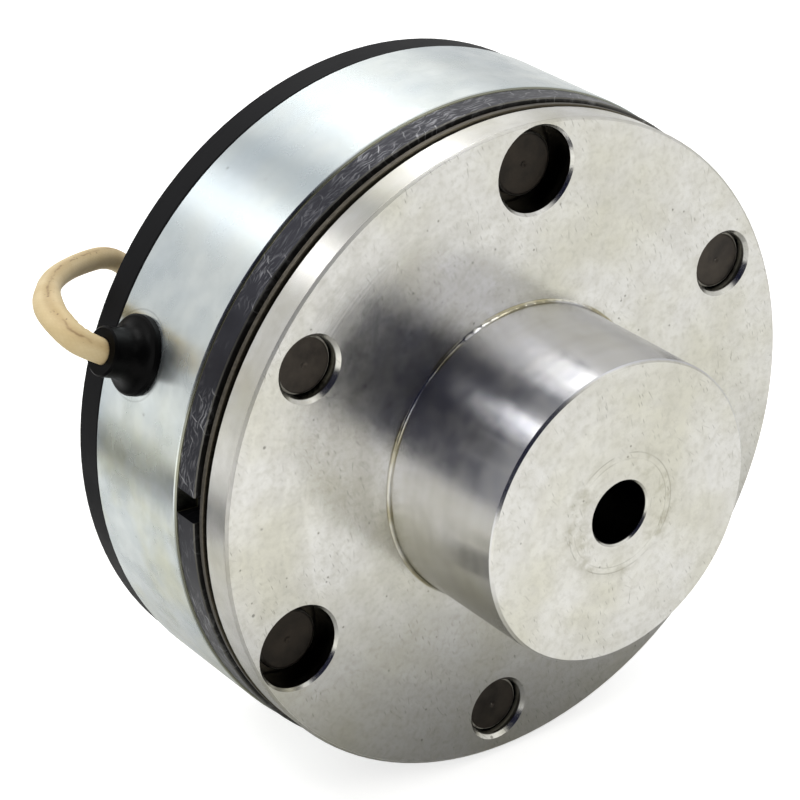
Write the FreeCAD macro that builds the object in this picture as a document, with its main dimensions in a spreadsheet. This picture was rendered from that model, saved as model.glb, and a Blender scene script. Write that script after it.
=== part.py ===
import FreeCAD, Part
import math
import os

import Sketcher
from FreeCAD import Placement, Rotation, Vector

# Permanent magnet brake, single face, for a motor shaft.
#
# The brake's axis lies along Y. The rear mounting face is at y = 0 and faces +Y, and the
# hub's boss points to -Y. The brake stands on its rim, so the floor is one housing radius
# under the axis. Every coaxial piece is drawn in its own frame, where Z runs from the rear
# face towards the hub ("depth" below) and angles count anticlockwise as seen from the hub.

doc = FreeCAD.newDocument("permanent_magnet_brake")

# Driving sizes, in millimetres and degrees: name, value, what it is.
SIZE_LIST = (
    ("housing_radius", 45.0, "outer pole, outside"),
    ("housing_width", 18.25, "outer pole, along the axis"),
    ("housing_edge", 0.3, "bevel on the outer pole's edges"),
    ("outer_pole_wall", 7.0, "outer pole, radial wall"),
    ("winding_space", 9.5, "radial space between the poles"),
    ("shaft_bore_radius", 16.0, "clear bore through flange and inner pole"),
    ("bore_edge", 0.5, "bevel on the shaft bore's ends"),
    ("flange_thickness", 4.55, "rear flange"),
    ("flange_setback", 0.25, "rear flange inside the housing's outline"),
    ("flange_edge", 0.4, "bevel on the rear flange's edges"),
    ("screw_count", 4, "screws on each circle"),
    ("screw_radius", 1.5, "countersunk screw, shank"),
    ("screw_head_radius", 2.75, "countersunk screw, head"),
    ("screw_head_depth", 1.6, "countersunk screw, head"),
    ("screw_length", 12.0, "countersunk screw, whole"),
    ("screw_sink", 0.15, "screw head under the flange face"),
    ("screw_socket", 1.0, "hexagon socket, half across flats"),
    ("screw_socket_depth", 1.1, "hexagon socket"),
    ("screw_angle", 45.0, "first pole screw"),
    ("fixing_angle", 0.0, "first tapped fixing hole"),
    ("fixing_radius", 2.1, "tapped fixing hole, drilled size"),
    ("fixing_depth", 12.0, "tapped fixing hole, from the rear face"),
    ("magnet_count", 8, "magnet blocks in the ring"),
    ("magnet_length", 5.0, "magnet blocks, along the axis"),
    ("magnet_slot", 6.0, "angle left free between two blocks"),
    ("inner_fit", 0.05, "glued or pressed fits inside the magnet body"),
    ("bobbin_clearance", 0.15, "bobbin to the poles and the magnets"),
    ("bobbin_wall", 1.0, "bobbin"),
    ("winding_inset", 0.5, "winding under the bobbin's rim"),
    ("potting_depth", 2.1, "resin ring between the pole faces"),
    ("armature_thickness", 3.8, "armature disc"),
    ("armature_setback", 0.3, "armature inside the housing's outline"),
    ("armature_bore_clearance", 2.0, "armature's bore outside the shaft bore"),
    ("armature_edge", 0.15, "broken edge of the armature's rim"),
    ("armature_relief_radius", 4.3, "armature hole round a hub rivet's tail"),
    ("notch_angle", 176.0, "notch in the armature's rim"),
    ("notch_width", 3.4, "notch in the armature's rim"),
    ("notch_depth", 3.0, "notch in the armature's rim"),
    ("release_stroke", 0.4, "armature travel towards the hub"),
    ("armature_spacer", 0.65, "washer between armature and spring"),
    ("spring_thickness", 0.7, "leaf spring ring"),
    ("spring_setback", 0.7, "leaf spring inside the housing's outline"),
    ("spring_width", 12.8, "leaf spring ring, from bore to rim"),
    ("hub_spacer", 0.45, "washer between spring and hub"),
    ("washer_radius", 3.9, "both washers, outside"),
    ("hub_flange_thickness", 4.5, "hub flange"),
    ("hub_setback", 0.8, "hub flange inside the housing's outline"),
    ("hub_edge", 0.3, "bevel on the hub flange's edges"),
    ("boss_radius", 20.1, "hub boss"),
    ("boss_length", 20.3, "hub boss, from the flange face"),
    ("boss_edge", 0.35, "bevel on the boss's end"),
    ("boss_root", 0.4, "rounding where the boss meets the flange"),
    ("pilot_bore_radius", 4.2, "pilot bore, bored out to the shaft's size"),
    ("pilot_edge", 0.3, "bevel on the pilot bore"),
    ("rivet_inset", 7.1, "rivets' circle inside the housing's outline"),
    ("rivet_angle", 26.6, "first hub rivet"),
    ("rivet_count", 3, "rivets of each kind"),
    ("rivet_shank_radius", 2.0, "both rivets"),
    ("rivet_fit", 0.05, "rivet shank in its holes"),
    ("hub_hole_radius", 4.05, "counterbore for a hub rivet"),
    ("hub_hole_depth", 3.0, "counterbore for a hub rivet"),
    ("hub_hole_edge", 0.5, "bevel on that counterbore"),
    ("hub_rivet_head", 3.85, "hub rivet, head radius"),
    ("hub_rivet_height", 1.7, "hub rivet, head height"),
    ("hub_rivet_tail", 3.0, "hub rivet, tail radius"),
    ("hub_rivet_tail_height", 0.9, "hub rivet, tail height"),
    ("rivet_rounding", 0.5, "rounding of the rivet heads"),
    ("rivet_mark_radius", 0.5, "punch mark in the rivet heads"),
    ("rivet_mark_depth", 0.2, "punch mark in the rivet heads"),
    ("relief_radius", 5.6, "hub hole over an armature rivet"),
    ("relief_edge", 0.35, "bevel on that hole"),
    ("armature_rivet_head", 4.2, "armature rivet, head radius"),
    ("armature_rivet_height", 2.4, "armature rivet, head height"),
    ("armature_rivet_tail", 3.1, "armature rivet, countersunk tail radius"),
    ("armature_rivet_sink", 0.25, "tail under the friction face"),
    ("grommet_angle", 158.2, "cable outlet on the housing"),
    ("grommet_depth", 10.1, "cable outlet, from the rear face"),
    ("grommet_hole_radius", 3.25, "hole in the outer pole"),
    ("grommet_flange_radius", 5.1, "grommet, foot"),
    ("grommet_flange_height", 0.75, "grommet, foot's edge"),
    ("grommet_flare_height", 3.1, "grommet, where the flare meets the neck"),
    ("grommet_neck_radius", 3.15, "grommet, neck"),
    ("grommet_height", 5.3, "grommet, above the housing"),
    ("grommet_edge", 0.25, "rounded edges of foot and neck"),
    ("grommet_bore_radius", 1.75, "grommet, cable bore"),
    ("wire_radius", 0.6, "insulated lead"),
    ("wire_pitch", 1.3, "leads, centre to centre"),
    ("cable_radius", 1.8, "sleeve over the two leads"),
    ("tie_thickness", 0.5, "cable tie"),
    ("tie_width", 2.5, "cable tie"),
    ("tie_clearance", 0.1, "cable tie to the coil"),
    ("tie_count", 2, "cable ties on the coil"),
    ("tie_angle", 70.0, "first cable tie, round the coil from X"),
    ("coil_x", 18.0, "centre of the put-away coil"),
    ("coil_y", 33.0, "centre of the put-away coil"),
    ("coil_radius", 20.0, "put-away coil, middle of its two turns"),
    ("sleeve_end_angle", 230.0, "where the sleeve ends, round the coil from X"),
    ("lead_turn", 58.0, "angle by which the leads turn into the coil"),
    ("lead_end_length", 16.0, "leads past the sleeve's end"),
    ("lead_tip_length", 5.0, "stripped and tinned tips"),
    ("lead_tip_radius", 0.4, "stripped and tinned tips"),
)

sheet = doc.addObject("Spreadsheet::Sheet", "Sizes")
sheet.Label = "Sizes"
for row, (alias, value, meaning) in enumerate(SIZE_LIST, start=1):
    sheet.set(f"A{row}", meaning)
    sheet.set(f"B{row}", str(value))
    sheet.setAlias(f"B{row}", alias)
doc.recompute()


class Size:
    """A size worked out from the sheet: its number, and the expression that binds it."""

    def __init__(self, text, number):
        self.text = text
        self.number = number

    def __float__(self):
        return float(self.number)

    def __add__(self, other):
        other = as_size(other)
        return Size(f"({self.text} + {other.text})", self.number + other.number)

    def __sub__(self, other):
        other = as_size(other)
        return Size(f"({self.text} - {other.text})", self.number - other.number)

    def __mul__(self, other):
        other = as_size(other)
        return Size(f"({self.text} * {other.text})", self.number * other.number)

    def __truediv__(self, other):
        other = as_size(other)
        return Size(f"({self.text} / {other.text})", self.number / other.number)

    def __neg__(self):
        return Size(f"(0 - {self.text})", -self.number)


def as_size(value):
    return value if isinstance(value, Size) else Size(str(value), value)


class Sizes:
    """The sheet's sizes by name."""

    def __getattr__(self, alias):
        return Size(f"Sizes.{alias}", float(getattr(sheet, alias)))


S = Sizes()

# Depths along the axis, counted from the rear face towards the hub.
HOUSING_BACK = S.flange_thickness
FRICTION_FACE = HOUSING_BACK + S.housing_width
ARMATURE_FRONT = FRICTION_FACE + S.armature_thickness
SPRING_BACK = ARMATURE_FRONT + S.armature_spacer
SPRING_FRONT = SPRING_BACK + S.spring_thickness
HUB_BACK = SPRING_FRONT + S.hub_spacer
HUB_FACE = HUB_BACK + S.hub_flange_thickness
BOSS_FACE = HUB_FACE + S.boss_length
HUB_RIVET_SEAT = HUB_FACE - S.hub_hole_depth
MAGNET_BACK = HOUSING_BACK + S.inner_fit
MAGNET_FRONT = MAGNET_BACK + S.magnet_length
BOBBIN_BACK = MAGNET_FRONT + S.bobbin_clearance
POTTING_BACK = FRICTION_FACE - S.potting_depth
BOBBIN_FRONT = POTTING_BACK - S.inner_fit

# Radii of the space between the poles.
OUTER_POLE_BORE = S.housing_radius - S.outer_pole_wall
INNER_POLE_RADIUS = OUTER_POLE_BORE - S.winding_space

# Circles that the screws and the rivets lie on. The screws are in the middle of their walls.
POLE_SCREW_CIRCLE = S.housing_radius - S.outer_pole_wall / 2
CORE_SCREW_CIRCLE = (S.shaft_bore_radius + INNER_POLE_RADIUS) / 2
RIVET_CIRCLE = S.housing_radius - S.rivet_inset

# The rivets of one kind share the full turn, and the other kind lies half a pitch on.
HALF_PITCH = as_size(180) / S.rivet_count

# Z of a coaxial piece's own frame points along -Y, its X along X and its Y along Z.
ALONG_AXIS = Rotation(Vector(1, 0, 0), 90)


def turned_placement(angle=0.0):
    """Places a coaxial piece, turned by an angle about the brake's axis."""
    return Placement(Vector(0, 0, 0), ALONG_AXIS * Rotation(Vector(0, 0, 1), float(angle)))


def new_body(label, placement):
    body = doc.addObject("PartDesign::Body", label)
    body.Label = label
    body.Placement = placement
    return body


def origin_feature(body, role):
    return next(part for part in body.Origin.OriginFeatures if part.Role == role)


def new_sketch(body, name, role, angle=None, height=None):
    """A sketch on an origin plane, turned about the body's Z and raised off the plane."""
    sketch = body.newObject("Sketcher::SketchObject", name)
    sketch.AttachmentSupport = [(origin_feature(body, role), "")]
    sketch.MapMode = "FlatFace"
    about = Vector(0, 0, 1) if role == "XY_Plane" else Vector(0, 1, 0)
    turn = Rotation(about, float(angle) if angle is not None else 0.0)
    lift = Vector(0, 0, float(height) if height is not None else 0.0)
    sketch.AttachmentOffset = Placement(lift, turn)
    if angle is not None:
        sketch.setExpression(".AttachmentOffset.Rotation.Angle", f"({angle.text}) * 1 deg")
    if height is not None:
        sketch.setExpression(".AttachmentOffset.Base.z", f"({height.text}) * 1 mm")
    return sketch


def bind_point(sketch, edge, end, across, up):
    """Holds one end of an edge at (across, up) from the sketch's origin."""
    for kind, axis, place in (("DistanceX", -2, across), ("DistanceY", -1, up)):
        place = as_size(place)
        number = float(place)
        if abs(number) < 1e-9:
            sketch.addConstraint(Sketcher.Constraint("PointOnObject", edge, end, axis))
            continue
        ends = (-1, 1, edge, end) if number > 0 else (edge, end, -1, 1)
        index = sketch.addConstraint(Sketcher.Constraint(kind, *ends, abs(number)))
        sketch.setExpression(f"Constraints[{index}]", (place if number > 0 else -place).text)


def draw_edge(sketch, start, end, radius=None):
    """A straight edge, or an arc that turns clockwise. Gives its number and end points."""
    if radius is None:
        return sketch.addGeometry(Part.LineSegment(start, end), False), (1, 2)
    half = (end - start).Length / 2
    across = Vector(start.y - end.y, end.x - start.x, 0).normalize()
    sag = float(radius) - math.sqrt(float(radius) ** 2 - half**2)
    arc = Part.Arc(start, (start + end) * 0.5 + across * sag, end)
    edge = sketch.addGeometry(arc, False)
    index = sketch.addConstraint(Sketcher.Constraint("Radius", edge, float(radius)))
    sketch.setExpression(f"Constraints[{index}]", radius.text)
    turned_over = (sketch.getPoint(edge, 1) - start).Length > 1e-6
    return edge, (2, 1) if turned_over else (1, 2)


def draw_outline(sketch, corners, arcs=None):
    """A closed outline through its corners, each bound to the sheet. Its edges are straight,
    apart from those that arcs gives a radius, by the number of the corner they start at."""
    arcs = arcs or {}
    points = [Vector(float(across), float(up), 0) for across, up in corners]
    edges = []
    for i, point in enumerate(points):
        edges.append(draw_edge(sketch, point, points[(i + 1) % len(points)], arcs.get(i)))
    for (edge, ends), (following, its_ends) in zip(edges, edges[1:] + edges[:1]):
        sketch.addConstraint(
            Sketcher.Constraint("Coincident", edge, ends[1], following, its_ends[0])
        )
    for (edge, ends), (across, up) in zip(edges, corners):
        bind_point(sketch, edge, ends[0], across, up)


def draw_circle(sketch, across, up, radius):
    centre = Vector(float(across), float(up), 0)
    edge = sketch.addGeometry(Part.Circle(centre, Vector(0, 0, 1), float(radius)), False)
    bind_point(sketch, edge, 3, across, up)
    index = sketch.addConstraint(Sketcher.Constraint("Radius", edge, float(radius)))
    sketch.setExpression(f"Constraints[{index}]", as_size(radius).text)


def draw_axis(sketch, start, end):
    """A construction line to turn an outline about."""
    points = [Vector(float(across), float(up), 0) for across, up in (start, end)]
    edge = sketch.addGeometry(Part.LineSegment(*points), True)
    bind_point(sketch, edge, 1, *start)
    bind_point(sketch, edge, 2, *end)


def turn(body, name, corners, axis=None, angle=None, cut=False, sweep=None, arcs=None):
    """Turns an outline of (radius, depth) corners: about the body's Z, or about an axis line."""
    sketch = new_sketch(body, name + "_outline", "XZ_Plane", angle)
    draw_outline(sketch, corners, arcs)
    if axis is not None:
        draw_axis(sketch, *axis)
    feature = body.newObject("PartDesign::Groove" if cut else "PartDesign::Revolution", name)
    feature.Profile = sketch
    feature.ReferenceAxis = (sketch, ["V_Axis" if axis is None else "Axis0"])
    if sweep is None:
        feature.Angle = 360
    else:
        feature.setExpression("Angle", sweep.text)
        feature.Midplane = True
    body.Tip = feature
    return feature


def turn_beside(body, name, circle, corners, angle=None, cut=False):
    """Turns an outline about a line parallel to the axis, at a distance of circle from it."""
    depths = [as_size(depth) for _, depth in corners]
    low, high = min(depths, key=float), max(depths, key=float)
    moved = [(circle + radius, depth) for radius, depth in corners]
    return turn(body, name, moved, ((circle, low), (circle, high)), angle, cut)


def ring_pattern(body, name, features, count, whole=False):
    """Repeats features, or the whole body, evenly about the brake's axis."""
    doc.recompute()
    pattern = body.newObject("PartDesign::PolarPattern", name)
    if whole:
        pattern.TransformMode = "Whole shape"
    else:
        pattern.Originals = features
    pattern.Axis = (origin_feature(body, "Z_Axis"), [""])
    pattern.Angle = 360
    pattern.Occurrences = round(float(count))
    pattern.setExpression("Occurrences", count.text)
    body.Tip = pattern
    return pattern


def pocket(body, name, sketch, depth=None, reversed_way=False):
    """Cuts a sketch through everything both ways, or to a depth."""
    feature = body.newObject("PartDesign::Pocket", name)
    feature.Profile = sketch
    if depth is None:
        feature.Type = "ThroughAll"
        feature.Midplane = True
    else:
        feature.setExpression("Length", depth.text)
        feature.Reversed = reversed_way
    body.Tip = feature
    return feature


def circles_at(shape, radius, depth):
    """Names of the circular edges that have a radius and lie at a depth."""
    names = []
    for i, edge in enumerate(shape.Edges, start=1):
        curve = edge.Curve
        if isinstance(curve, Part.Circle) and abs(curve.Radius - float(radius)) < 1e-4:
            if abs(curve.Center.z - float(depth)) < 1e-4:
                names.append(f"Edge{i}")
    return names


def round_over(body, name, base, edges, radius):
    feature = body.newObject("PartDesign::Fillet", name)
    feature.Base = (base, edges)
    feature.Radius = float(radius)
    feature.setExpression("Radius", radius.text)
    body.Tip = feature
    return feature


def bevelled_ring(bore, radius, back, front, bevel, bore_bevel):
    """Corners of a plain ring with bevels on its outer edges and on its bore's edges."""
    return [
        (bore, back + bore_bevel),
        (bore + bore_bevel, back),
        (radius - bevel, back),
        (radius, back + bevel),
        (radius, front - bevel),
        (radius - bevel, front),
        (bore + bore_bevel, front),
        (bore, front - bore_bevel),
    ]


def plain_ring(bore, radius, back, front):
    return [(bore, back), (radius, back), (radius, front), (bore, front)]


def rear_flange():
    """Black disc that carries both poles, with the fixing holes for the motor's end shield."""
    body = new_body("rear_flange", turned_placement())
    radius = S.housing_radius - S.flange_setback
    ring = bevelled_ring(
        S.shaft_bore_radius, radius, as_size(0), HOUSING_BACK, S.flange_edge, S.bore_edge
    )
    turn(body, "disc", ring)
    sink = [
        (0, 0),
        (S.screw_head_radius + S.inner_fit, 0),
        (S.screw_head_radius + S.inner_fit, S.screw_sink),
        (S.screw_radius + S.inner_fit, S.screw_sink + S.screw_head_depth),
        (S.screw_radius + S.inner_fit, HOUSING_BACK),
        (0, HOUSING_BACK),
    ]
    for name, circle, angle in (
        ("pole_screw_hole", POLE_SCREW_CIRCLE, S.screw_angle),
        ("core_screw_hole", CORE_SCREW_CIRCLE, S.fixing_angle),
    ):
        hole = turn_beside(body, name, circle, sink, angle, cut=True)
        ring_pattern(body, name + "s", [hole], S.screw_count)
    through = [(0, 0), (S.fixing_radius, 0), (S.fixing_radius, HOUSING_BACK), (0, HOUSING_BACK)]
    hole = turn_beside(
        body, "fixing_hole", POLE_SCREW_CIRCLE, through, S.fixing_angle, cut=True
    )
    ring_pattern(body, "fixing_holes", [hole], S.screw_count)
    return body


def screw_tap(bottom):
    """Corners of the blind hole that a flange screw sits in."""
    return [
        (0, HOUSING_BACK),
        (S.screw_radius + S.inner_fit, HOUSING_BACK),
        (S.screw_radius + S.inner_fit, bottom),
        (0, bottom),
    ]


def magnet_housing():
    """Zinc-plated outer pole with the cable hole in its wall."""
    body = new_body("magnet_housing", turned_placement())
    ring = bevelled_ring(
        OUTER_POLE_BORE,
        S.housing_radius,
        HOUSING_BACK,
        FRICTION_FACE,
        S.housing_edge,
        S.housing_edge,
    )
    turn(body, "pole_ring", ring)
    inside = OUTER_POLE_BORE - S.bobbin_wall
    outside = S.housing_radius + S.bobbin_wall
    rim = S.grommet_depth + S.grommet_hole_radius
    turn(
        body,
        "cable_hole",
        [
            (inside, S.grommet_depth),
            (outside, S.grommet_depth),
            (outside, rim),
            (inside, rim),
        ],
        axis=((inside, S.grommet_depth), (outside, S.grommet_depth)),
        angle=S.grommet_angle,
        cut=True,
    )
    tap = screw_tap(S.screw_sink + S.screw_length + S.inner_fit)
    hole = turn_beside(body, "screw_hole", POLE_SCREW_CIRCLE, tap, S.screw_angle, cut=True)
    ring_pattern(body, "screw_holes", [hole], S.screw_count)
    blind = [
        (0, HOUSING_BACK),
        (S.fixing_radius, HOUSING_BACK),
        (S.fixing_radius, S.fixing_depth),
        (0, S.fixing_depth),
    ]
    hole = turn_beside(
        body, "fixing_hole", POLE_SCREW_CIRCLE, blind, S.fixing_angle, cut=True
    )
    ring_pattern(body, "fixing_holes", [hole], S.screw_count)
    return body


def inner_pole():
    """Zinc-plated sleeve round the shaft, whose front end is the inner friction face."""
    body = new_body("inner_pole", turned_placement())
    ring = bevelled_ring(
        S.shaft_bore_radius,
        INNER_POLE_RADIUS,
        HOUSING_BACK,
        FRICTION_FACE,
        S.housing_edge,
        S.bore_edge,
    )
    turn(body, "sleeve", ring)
    tap = screw_tap(S.screw_sink + S.screw_length + S.inner_fit)
    hole = turn_beside(body, "screw_hole", CORE_SCREW_CIRCLE, tap, S.fixing_angle, cut=True)
    ring_pattern(body, "screw_holes", [hole], S.screw_count)
    return body


def flange_screws(label, circle, angle):
    """Countersunk hexagon socket screws on one circle, driven in from the rear."""
    body = new_body(label, turned_placement(angle))
    head = S.screw_sink + S.screw_head_depth
    end = S.screw_sink + S.screw_length
    turn_beside(
        body,
        "screw",
        circle,
        [
            (0, S.screw_sink),
            (S.screw_head_radius, S.screw_sink),
            (S.screw_radius, head),
            (S.screw_radius, end - S.screw_radius / 2),
            (S.screw_radius / 2, end),
            (0, end),
        ],
    )
    sketch = new_sketch(body, "socket_outline", "XY_Plane", height=S.screw_sink)
    corner = S.screw_socket * (2 / math.sqrt(3))
    half = corner / 2
    draw_outline(
        sketch,
        [
            (circle + corner, 0),
            (circle + half, S.screw_socket),
            (circle - half, S.screw_socket),
            (circle - corner, 0),
            (circle - half, -S.screw_socket),
            (circle + half, -S.screw_socket),
        ],
    )
    pocket(body, "socket", sketch, S.screw_socket_depth, reversed_way=True)
    ring_pattern(body, "screws", None, S.screw_count, whole=True)
    return body


def magnet_block(number):
    """One block of the magnet ring. The cable's wires pass between two blocks."""
    pitch = as_size(360) / S.magnet_count
    angle = S.grommet_angle + pitch * (number + 0.5)
    label = f"magnet_{number + 1}"
    body = new_body(label, turned_placement(angle))
    ring = plain_ring(
        INNER_POLE_RADIUS + S.inner_fit,
        OUTER_POLE_BORE - S.inner_fit,
        MAGNET_BACK,
        MAGNET_FRONT,
    )
    turn(body, "block", ring, sweep=pitch - S.magnet_slot)
    return body


def coil_bobbin():
    """Plastic former, open to the outside, that holds the release winding."""
    body = new_body("coil_bobbin", turned_placement())
    inner = INNER_POLE_RADIUS + S.bobbin_clearance
    outer = OUTER_POLE_BORE - S.bobbin_clearance
    floor = inner + S.bobbin_wall
    turn(
        body,
        "former",
        [
            (inner, BOBBIN_BACK),
            (outer, BOBBIN_BACK),
            (outer, BOBBIN_BACK + S.bobbin_wall),
            (floor, BOBBIN_BACK + S.bobbin_wall),
            (floor, BOBBIN_FRONT - S.bobbin_wall),
            (outer, BOBBIN_FRONT - S.bobbin_wall),
            (outer, BOBBIN_FRONT),
            (inner, BOBBIN_FRONT),
        ],
    )
    return body


def coil_winding():
    """Release winding, as the block that its copper fills."""
    body = new_body("coil_winding", turned_placement())
    ring = plain_ring(
        INNER_POLE_RADIUS + S.bobbin_clearance + S.bobbin_wall + S.inner_fit,
        OUTER_POLE_BORE - S.bobbin_clearance - S.winding_inset,
        BOBBIN_BACK + S.bobbin_wall + S.inner_fit,
        BOBBIN_FRONT - S.bobbin_wall - S.inner_fit,
    )
    turn(body, "copper", ring)
    return body


def potting_ring():
    """Cast resin, flush with the pole faces, that closes the coil space."""
    body = new_body("potting_ring", turned_placement())
    ring = plain_ring(
        INNER_POLE_RADIUS + S.inner_fit,
        OUTER_POLE_BORE - S.inner_fit,
        POTTING_BACK,
        FRICTION_FACE,
    )
    turn(body, "resin", ring)
    return body


def outlet_placement():
    """The cable outlet's frame: Z points out of the housing, from the brake's axis."""
    turn_up = Rotation(Vector(0, 1, 0), 90 - float(S.grommet_angle))
    return Placement(Vector(0, -float(S.grommet_depth), 0), turn_up)


def cable_grommet():
    """Rubber grommet: a foot that follows the housing, a flare and a neck."""
    body = new_body("cable_grommet", outlet_placement())
    surface = S.housing_radius
    below = surface - S.grommet_flange_height
    foot = surface + S.grommet_flange_height
    top = surface + S.grommet_height
    # The flare is a hollow arc that runs into the neck without a corner.
    flare = S.grommet_flange_radius - S.grommet_edge - S.grommet_neck_radius
    rise = S.grommet_flare_height - S.grommet_flange_height
    flare_radius = (flare * flare + rise * rise) / (flare * 2)
    turn(
        body,
        "outside",
        [
            (S.grommet_bore_radius, below),
            (S.grommet_flange_radius, below),
            (S.grommet_flange_radius, foot - S.grommet_edge),
            (S.grommet_flange_radius - S.grommet_edge, foot),
            (S.grommet_neck_radius, surface + S.grommet_flare_height),
            (S.grommet_neck_radius, top - S.grommet_edge),
            (S.grommet_neck_radius - S.grommet_edge, top),
            (S.grommet_bore_radius, top),
        ],
        arcs={3: flare_radius},
    )
    sketch = new_sketch(body, "seat_outline", "XZ_Plane")
    draw_circle(sketch, 0, 0, S.housing_radius + S.inner_fit)
    pocket(body, "seat", sketch)
    shank = S.grommet_hole_radius - S.inner_fit
    turn(
        body,
        "shank",
        [
            (S.grommet_bore_radius, OUTER_POLE_BORE + S.housing_edge),
            (shank, OUTER_POLE_BORE + S.housing_edge),
            (shank, foot),
            (S.grommet_bore_radius, foot),
        ],
    )
    return body


def lead_wires():
    """The two leads from the winding, through the pole and the grommet to the sleeve."""
    body = new_body("lead_wires", outlet_placement())
    start = OUTER_POLE_BORE - S.bobbin_clearance
    sketch = new_sketch(body, "wire_outline", "XY_Plane", height=start)
    for side in (-0.5, 0.5):
        draw_circle(sketch, S.wire_pitch * side, 0, S.wire_radius)
    feature = body.newObject("PartDesign::Pad", "wires")
    feature.Profile = sketch
    feature.setExpression("Length", (S.housing_radius + S.grommet_height - start).text)
    body.Tip = feature
    return body


def armature_disc():
    """Steel disc that the magnets pull against the poles."""
    body = new_body("armature_disc", turned_placement(S.rivet_angle))
    radius = S.housing_radius - S.armature_setback
    ring = bevelled_ring(
        S.shaft_bore_radius + S.armature_bore_clearance,
        radius,
        FRICTION_FACE,
        ARMATURE_FRONT,
        S.armature_edge,
        S.armature_edge,
    )
    turn(body, "disc", ring)
    relief = [
        (0, FRICTION_FACE),
        (S.armature_relief_radius, FRICTION_FACE),
        (S.armature_relief_radius, ARMATURE_FRONT),
        (0, ARMATURE_FRONT),
    ]
    hole = turn_beside(body, "relief_hole", RIVET_CIRCLE, relief, cut=True)
    ring_pattern(body, "relief_holes", [hole], S.rivet_count)
    shank = S.rivet_shank_radius + S.rivet_fit
    sink = S.armature_rivet_tail + S.rivet_fit
    seat = FRICTION_FACE + S.armature_rivet_sink
    neck = seat + S.armature_rivet_tail - S.rivet_shank_radius
    countersink = [
        (0, FRICTION_FACE),
        (sink, FRICTION_FACE),
        (sink, seat),
        (shank, neck),
        (shank, ARMATURE_FRONT),
        (0, ARMATURE_FRONT),
    ]
    hole = turn_beside(body, "rivet_hole", RIVET_CIRCLE, countersink, HALF_PITCH, cut=True)
    ring_pattern(body, "rivet_holes", [hole], S.rivet_count)
    sketch = new_sketch(body, "notch_outline", "XY_Plane", S.notch_angle - S.rivet_angle)
    half = S.notch_width / 2
    outside = S.housing_radius + S.notch_depth
    draw_outline(
        sketch,
        [
            (radius - S.notch_depth, -half),
            (outside, -half),
            (outside, half),
            (radius - S.notch_depth, half),
        ],
    )
    pocket(body, "notch", sketch)
    return body


def washers(label, back, front, angle):
    """Three washers on one kind of rivet."""
    body = new_body(label, turned_placement(angle))
    bore = S.rivet_shank_radius + S.rivet_fit
    turn_beside(
        body,
        "washer",
        RIVET_CIRCLE,
        [(bore, back), (S.washer_radius, back), (S.washer_radius, front), (bore, front)],
    )
    ring_pattern(body, "washers", None, S.rivet_count, whole=True)
    return body


def leaf_spring():
    """Flat steel ring, riveted in turn to the hub and to the armature."""
    body = new_body("leaf_spring", turned_placement(S.rivet_angle))
    radius = S.housing_radius - S.spring_setback
    turn(body, "ring", plain_ring(radius - S.spring_width, radius, SPRING_BACK, SPRING_FRONT))
    bore = S.rivet_shank_radius + S.rivet_fit
    punched = [(0, SPRING_BACK), (bore, SPRING_BACK), (bore, SPRING_FRONT), (0, SPRING_FRONT)]
    hole = turn_beside(body, "rivet_hole", RIVET_CIRCLE, punched, cut=True)
    ring_pattern(body, "rivet_holes", [hole], S.rivet_count * 2)
    return body


def hub():
    """Flange hub in one piece: flange, boss and pilot bore."""
    body = new_body("hub", turned_placement(S.rivet_angle))
    radius = S.housing_radius - S.hub_setback
    blank = turn(
        body,
        "blank",
        [
            (S.pilot_bore_radius, HUB_BACK + S.pilot_edge),
            (S.pilot_bore_radius + S.pilot_edge, HUB_BACK),
            (radius - S.hub_edge, HUB_BACK),
            (radius, HUB_BACK + S.hub_edge),
            (radius, HUB_FACE - S.hub_edge),
            (radius - S.hub_edge, HUB_FACE),
            (S.boss_radius, HUB_FACE),
            (S.boss_radius, BOSS_FACE - S.boss_edge),
            (S.boss_radius - S.boss_edge, BOSS_FACE),
            (S.pilot_bore_radius + S.pilot_edge, BOSS_FACE),
            (S.pilot_bore_radius, BOSS_FACE - S.pilot_edge),
        ],
    )
    doc.recompute()
    edges = circles_at(blank.Shape, S.boss_radius, HUB_FACE)
    round_over(body, "boss_root", blank, edges, S.boss_root)
    shank = S.rivet_shank_radius + S.rivet_fit
    counterbore = [
        (0, HUB_BACK),
        (shank, HUB_BACK),
        (shank, HUB_RIVET_SEAT),
        (S.hub_hole_radius, HUB_RIVET_SEAT),
        (S.hub_hole_radius, HUB_FACE - S.hub_hole_edge),
        (S.hub_hole_radius + S.hub_hole_edge, HUB_FACE),
        (0, HUB_FACE),
    ]
    hole = turn_beside(body, "rivet_hole", RIVET_CIRCLE, counterbore, cut=True)
    ring_pattern(body, "rivet_holes", [hole], S.rivet_count)
    relief = [
        (0, HUB_BACK),
        (S.relief_radius, HUB_BACK),
        (S.relief_radius, HUB_FACE - S.relief_edge),
        (S.relief_radius + S.relief_edge, HUB_FACE),
        (0, HUB_FACE),
    ]
    hole = turn_beside(body, "relief_hole", RIVET_CIRCLE, relief, HALF_PITCH, cut=True)
    ring_pattern(body, "relief_holes", [hole], S.rivet_count)
    return body


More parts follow.
